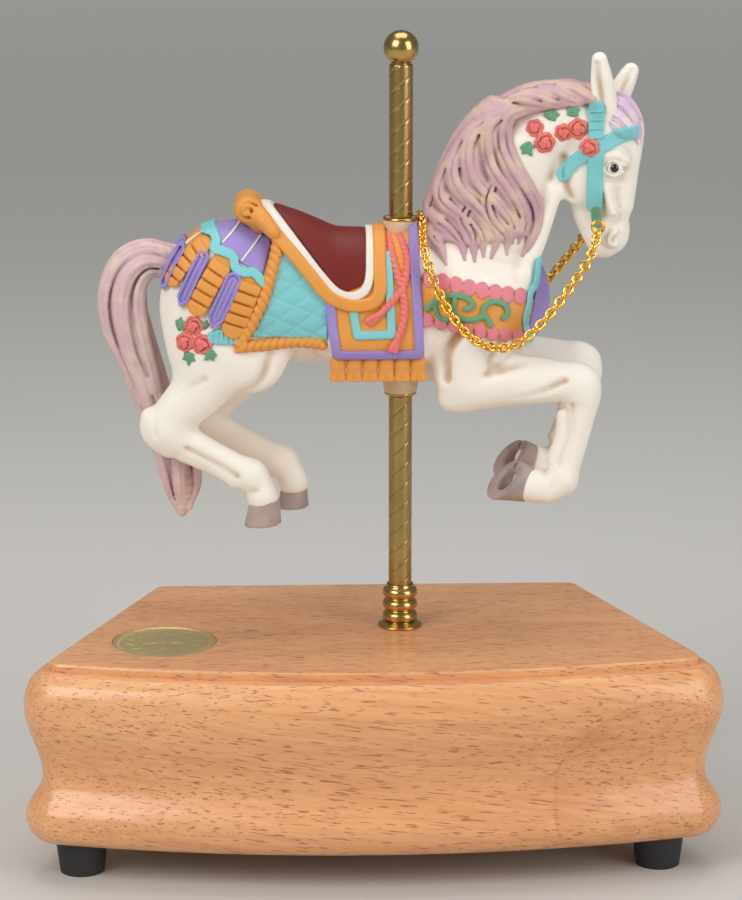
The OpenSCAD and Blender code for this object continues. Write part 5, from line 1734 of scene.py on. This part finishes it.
# %% Striking the medallion
def struck(r, a):
    """Height of the relief in mm at a radius (from 0 to 1) and an angle."""
    rim = 0.32 * math.exp(-((r - 0.965) / 0.03) ** 4) + 0.14 * math.exp(-((r - 0.8) / 0.012) ** 2)
    beads = 0.2 * max(0, math.cos(a * 60)) ** 0.7 * math.exp(-((r - 0.88) / 0.03) ** 2)
    leaves = 0.2 * max(0, math.sin(a * 14 + 9 * r)) ** 2 * math.exp(-((r - 0.66) / 0.085) ** 4)
    ring = 0.14 * math.exp(-((r - 0.51) / 0.012) ** 2)
    petal = 0.3 * max(0, math.cos(a * 4)) ** 1.5 * math.exp(-((r - 0.27) / 0.15) ** 4)
    heart = 0.26 * math.exp(-(r / 0.07) ** 4)
    return rim + beads + leaves + ring + petal + heart


def medallion():
    """A disc whose top is a relief on a fan of rings."""
    rings, around = 64, 360
    floor, level = MEDAL_LOW.z / MM, MEDAL_HIGH.z / MM - 0.3
    points = [(MEDAL.x, MEDAL.y, level + struck(0, 0))]
    for i in range(1, rings + 1):
        r = i / rings
        for j in range(around):
            a = 2 * math.pi * j / around
            points.append((MEDAL.x + MEDAL_R * r * math.cos(a), MEDAL.y + MEDAL_R * r * math.sin(a),
                           level + struck(r, a)))
    last = 1 + (rings - 1) * around
    low_ring = len(points)
    points += [(x, y, floor) for x, y, z in points[last:last + around]]
    points.append((MEDAL.x, MEDAL.y, floor))
    faces = [(0, 1 + j, 1 + (j + 1) % around) for j in range(around)]
    for i in range(rings):
        a, b = 1 + i * around, 1 + (i + 1) * around
        for j in range(around):
            k = (j + 1) % around
            faces.append((a + j, b + j, b + k, a + k))
    faces += [(len(points) - 1, low_ring + (j + 1) % around, low_ring + j) for j in range(around)]
    made = mesh_object("struck_medallion", [(x * MM, y * MM, z * MM) for x, y, z in points], faces)
    made.data.materials.append(MEDAL_BRASS)
    return made


medal_piece = medallion()
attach(medal_piece, "base")
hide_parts("medallion")


# %% [markdown]
# ## Finishes of the mechanical pieces
# The movement, the plate, the feet and the screws keep their engineered shapes and get real finishes.

# %% Rubber, plywood and metals of the movement
def rubber():
    """Dull black rubber."""
    material, n, shader, place = new_material("rubber")
    uneven = use_group(n, UNEVEN, {"Vector": place, "Fine": 1500.0, "Broad": 80.0})
    n.tree.links.new(n.mix(uneven.outputs["Tone"], linear(34, 35, 37), linear(52, 53, 55)),
                     shader.inputs["Base Color"])
    shader.inputs["Roughness"].default_value = 0.62
    bump(n, shader, uneven.outputs["Height"], 0.00003)
    return material


def plywood():
    """Plain plywood with fine lines along X."""
    material, n, shader, place = new_material("plywood")
    grain = n.add("ShaderNodeMapping", {"Vector": place, "Scale": (25, 500, 500)}).outputs[0]
    lines = n.add("ShaderNodeTexNoise", {"Vector": grain, "Scale": 1.0, "Detail": 4.0}).outputs[0]
    n.tree.links.new(n.ramp(lines, [(0.3, linear(216, 182, 138)), (0.7, linear(186, 146, 100))]),
                     shader.inputs["Base Color"])
    shader.inputs["Roughness"].default_value = 0.6
    bump(n, shader, lines, 0.00003)
    return material


FINISHES = {
    "rubber": rubber(), "plywood": plywood(), "wood": WOOD, "brass": BRASS, "pole_brass": POLE_BRASS,
    "medal_brass": MEDAL_BRASS, "gilt": GILT, "cream_washer": CREAM, "porcelain": PORCELAIN,
    "steel": metal("steel", linear(196, 198, 202), 0.25, 0.08),
    "comb_steel": metal("comb steel", linear(170, 176, 188), 0.2, 0.06),
    "zinc": metal("zinc plate", linear(182, 184, 186), 0.38, 0.1),
    "cast_base": metal("cast iron", linear(120, 122, 126), 0.5, 0.15, fine=500.0, scratch=0.00004)}
for name, node in frame["nodes"].items():
    for slot in node.material_slots:
        plain = slot.material.name.split(".")[0] if slot.material else ""
        if plain in FINISHES:
            slot.material = FINISHES[plain]
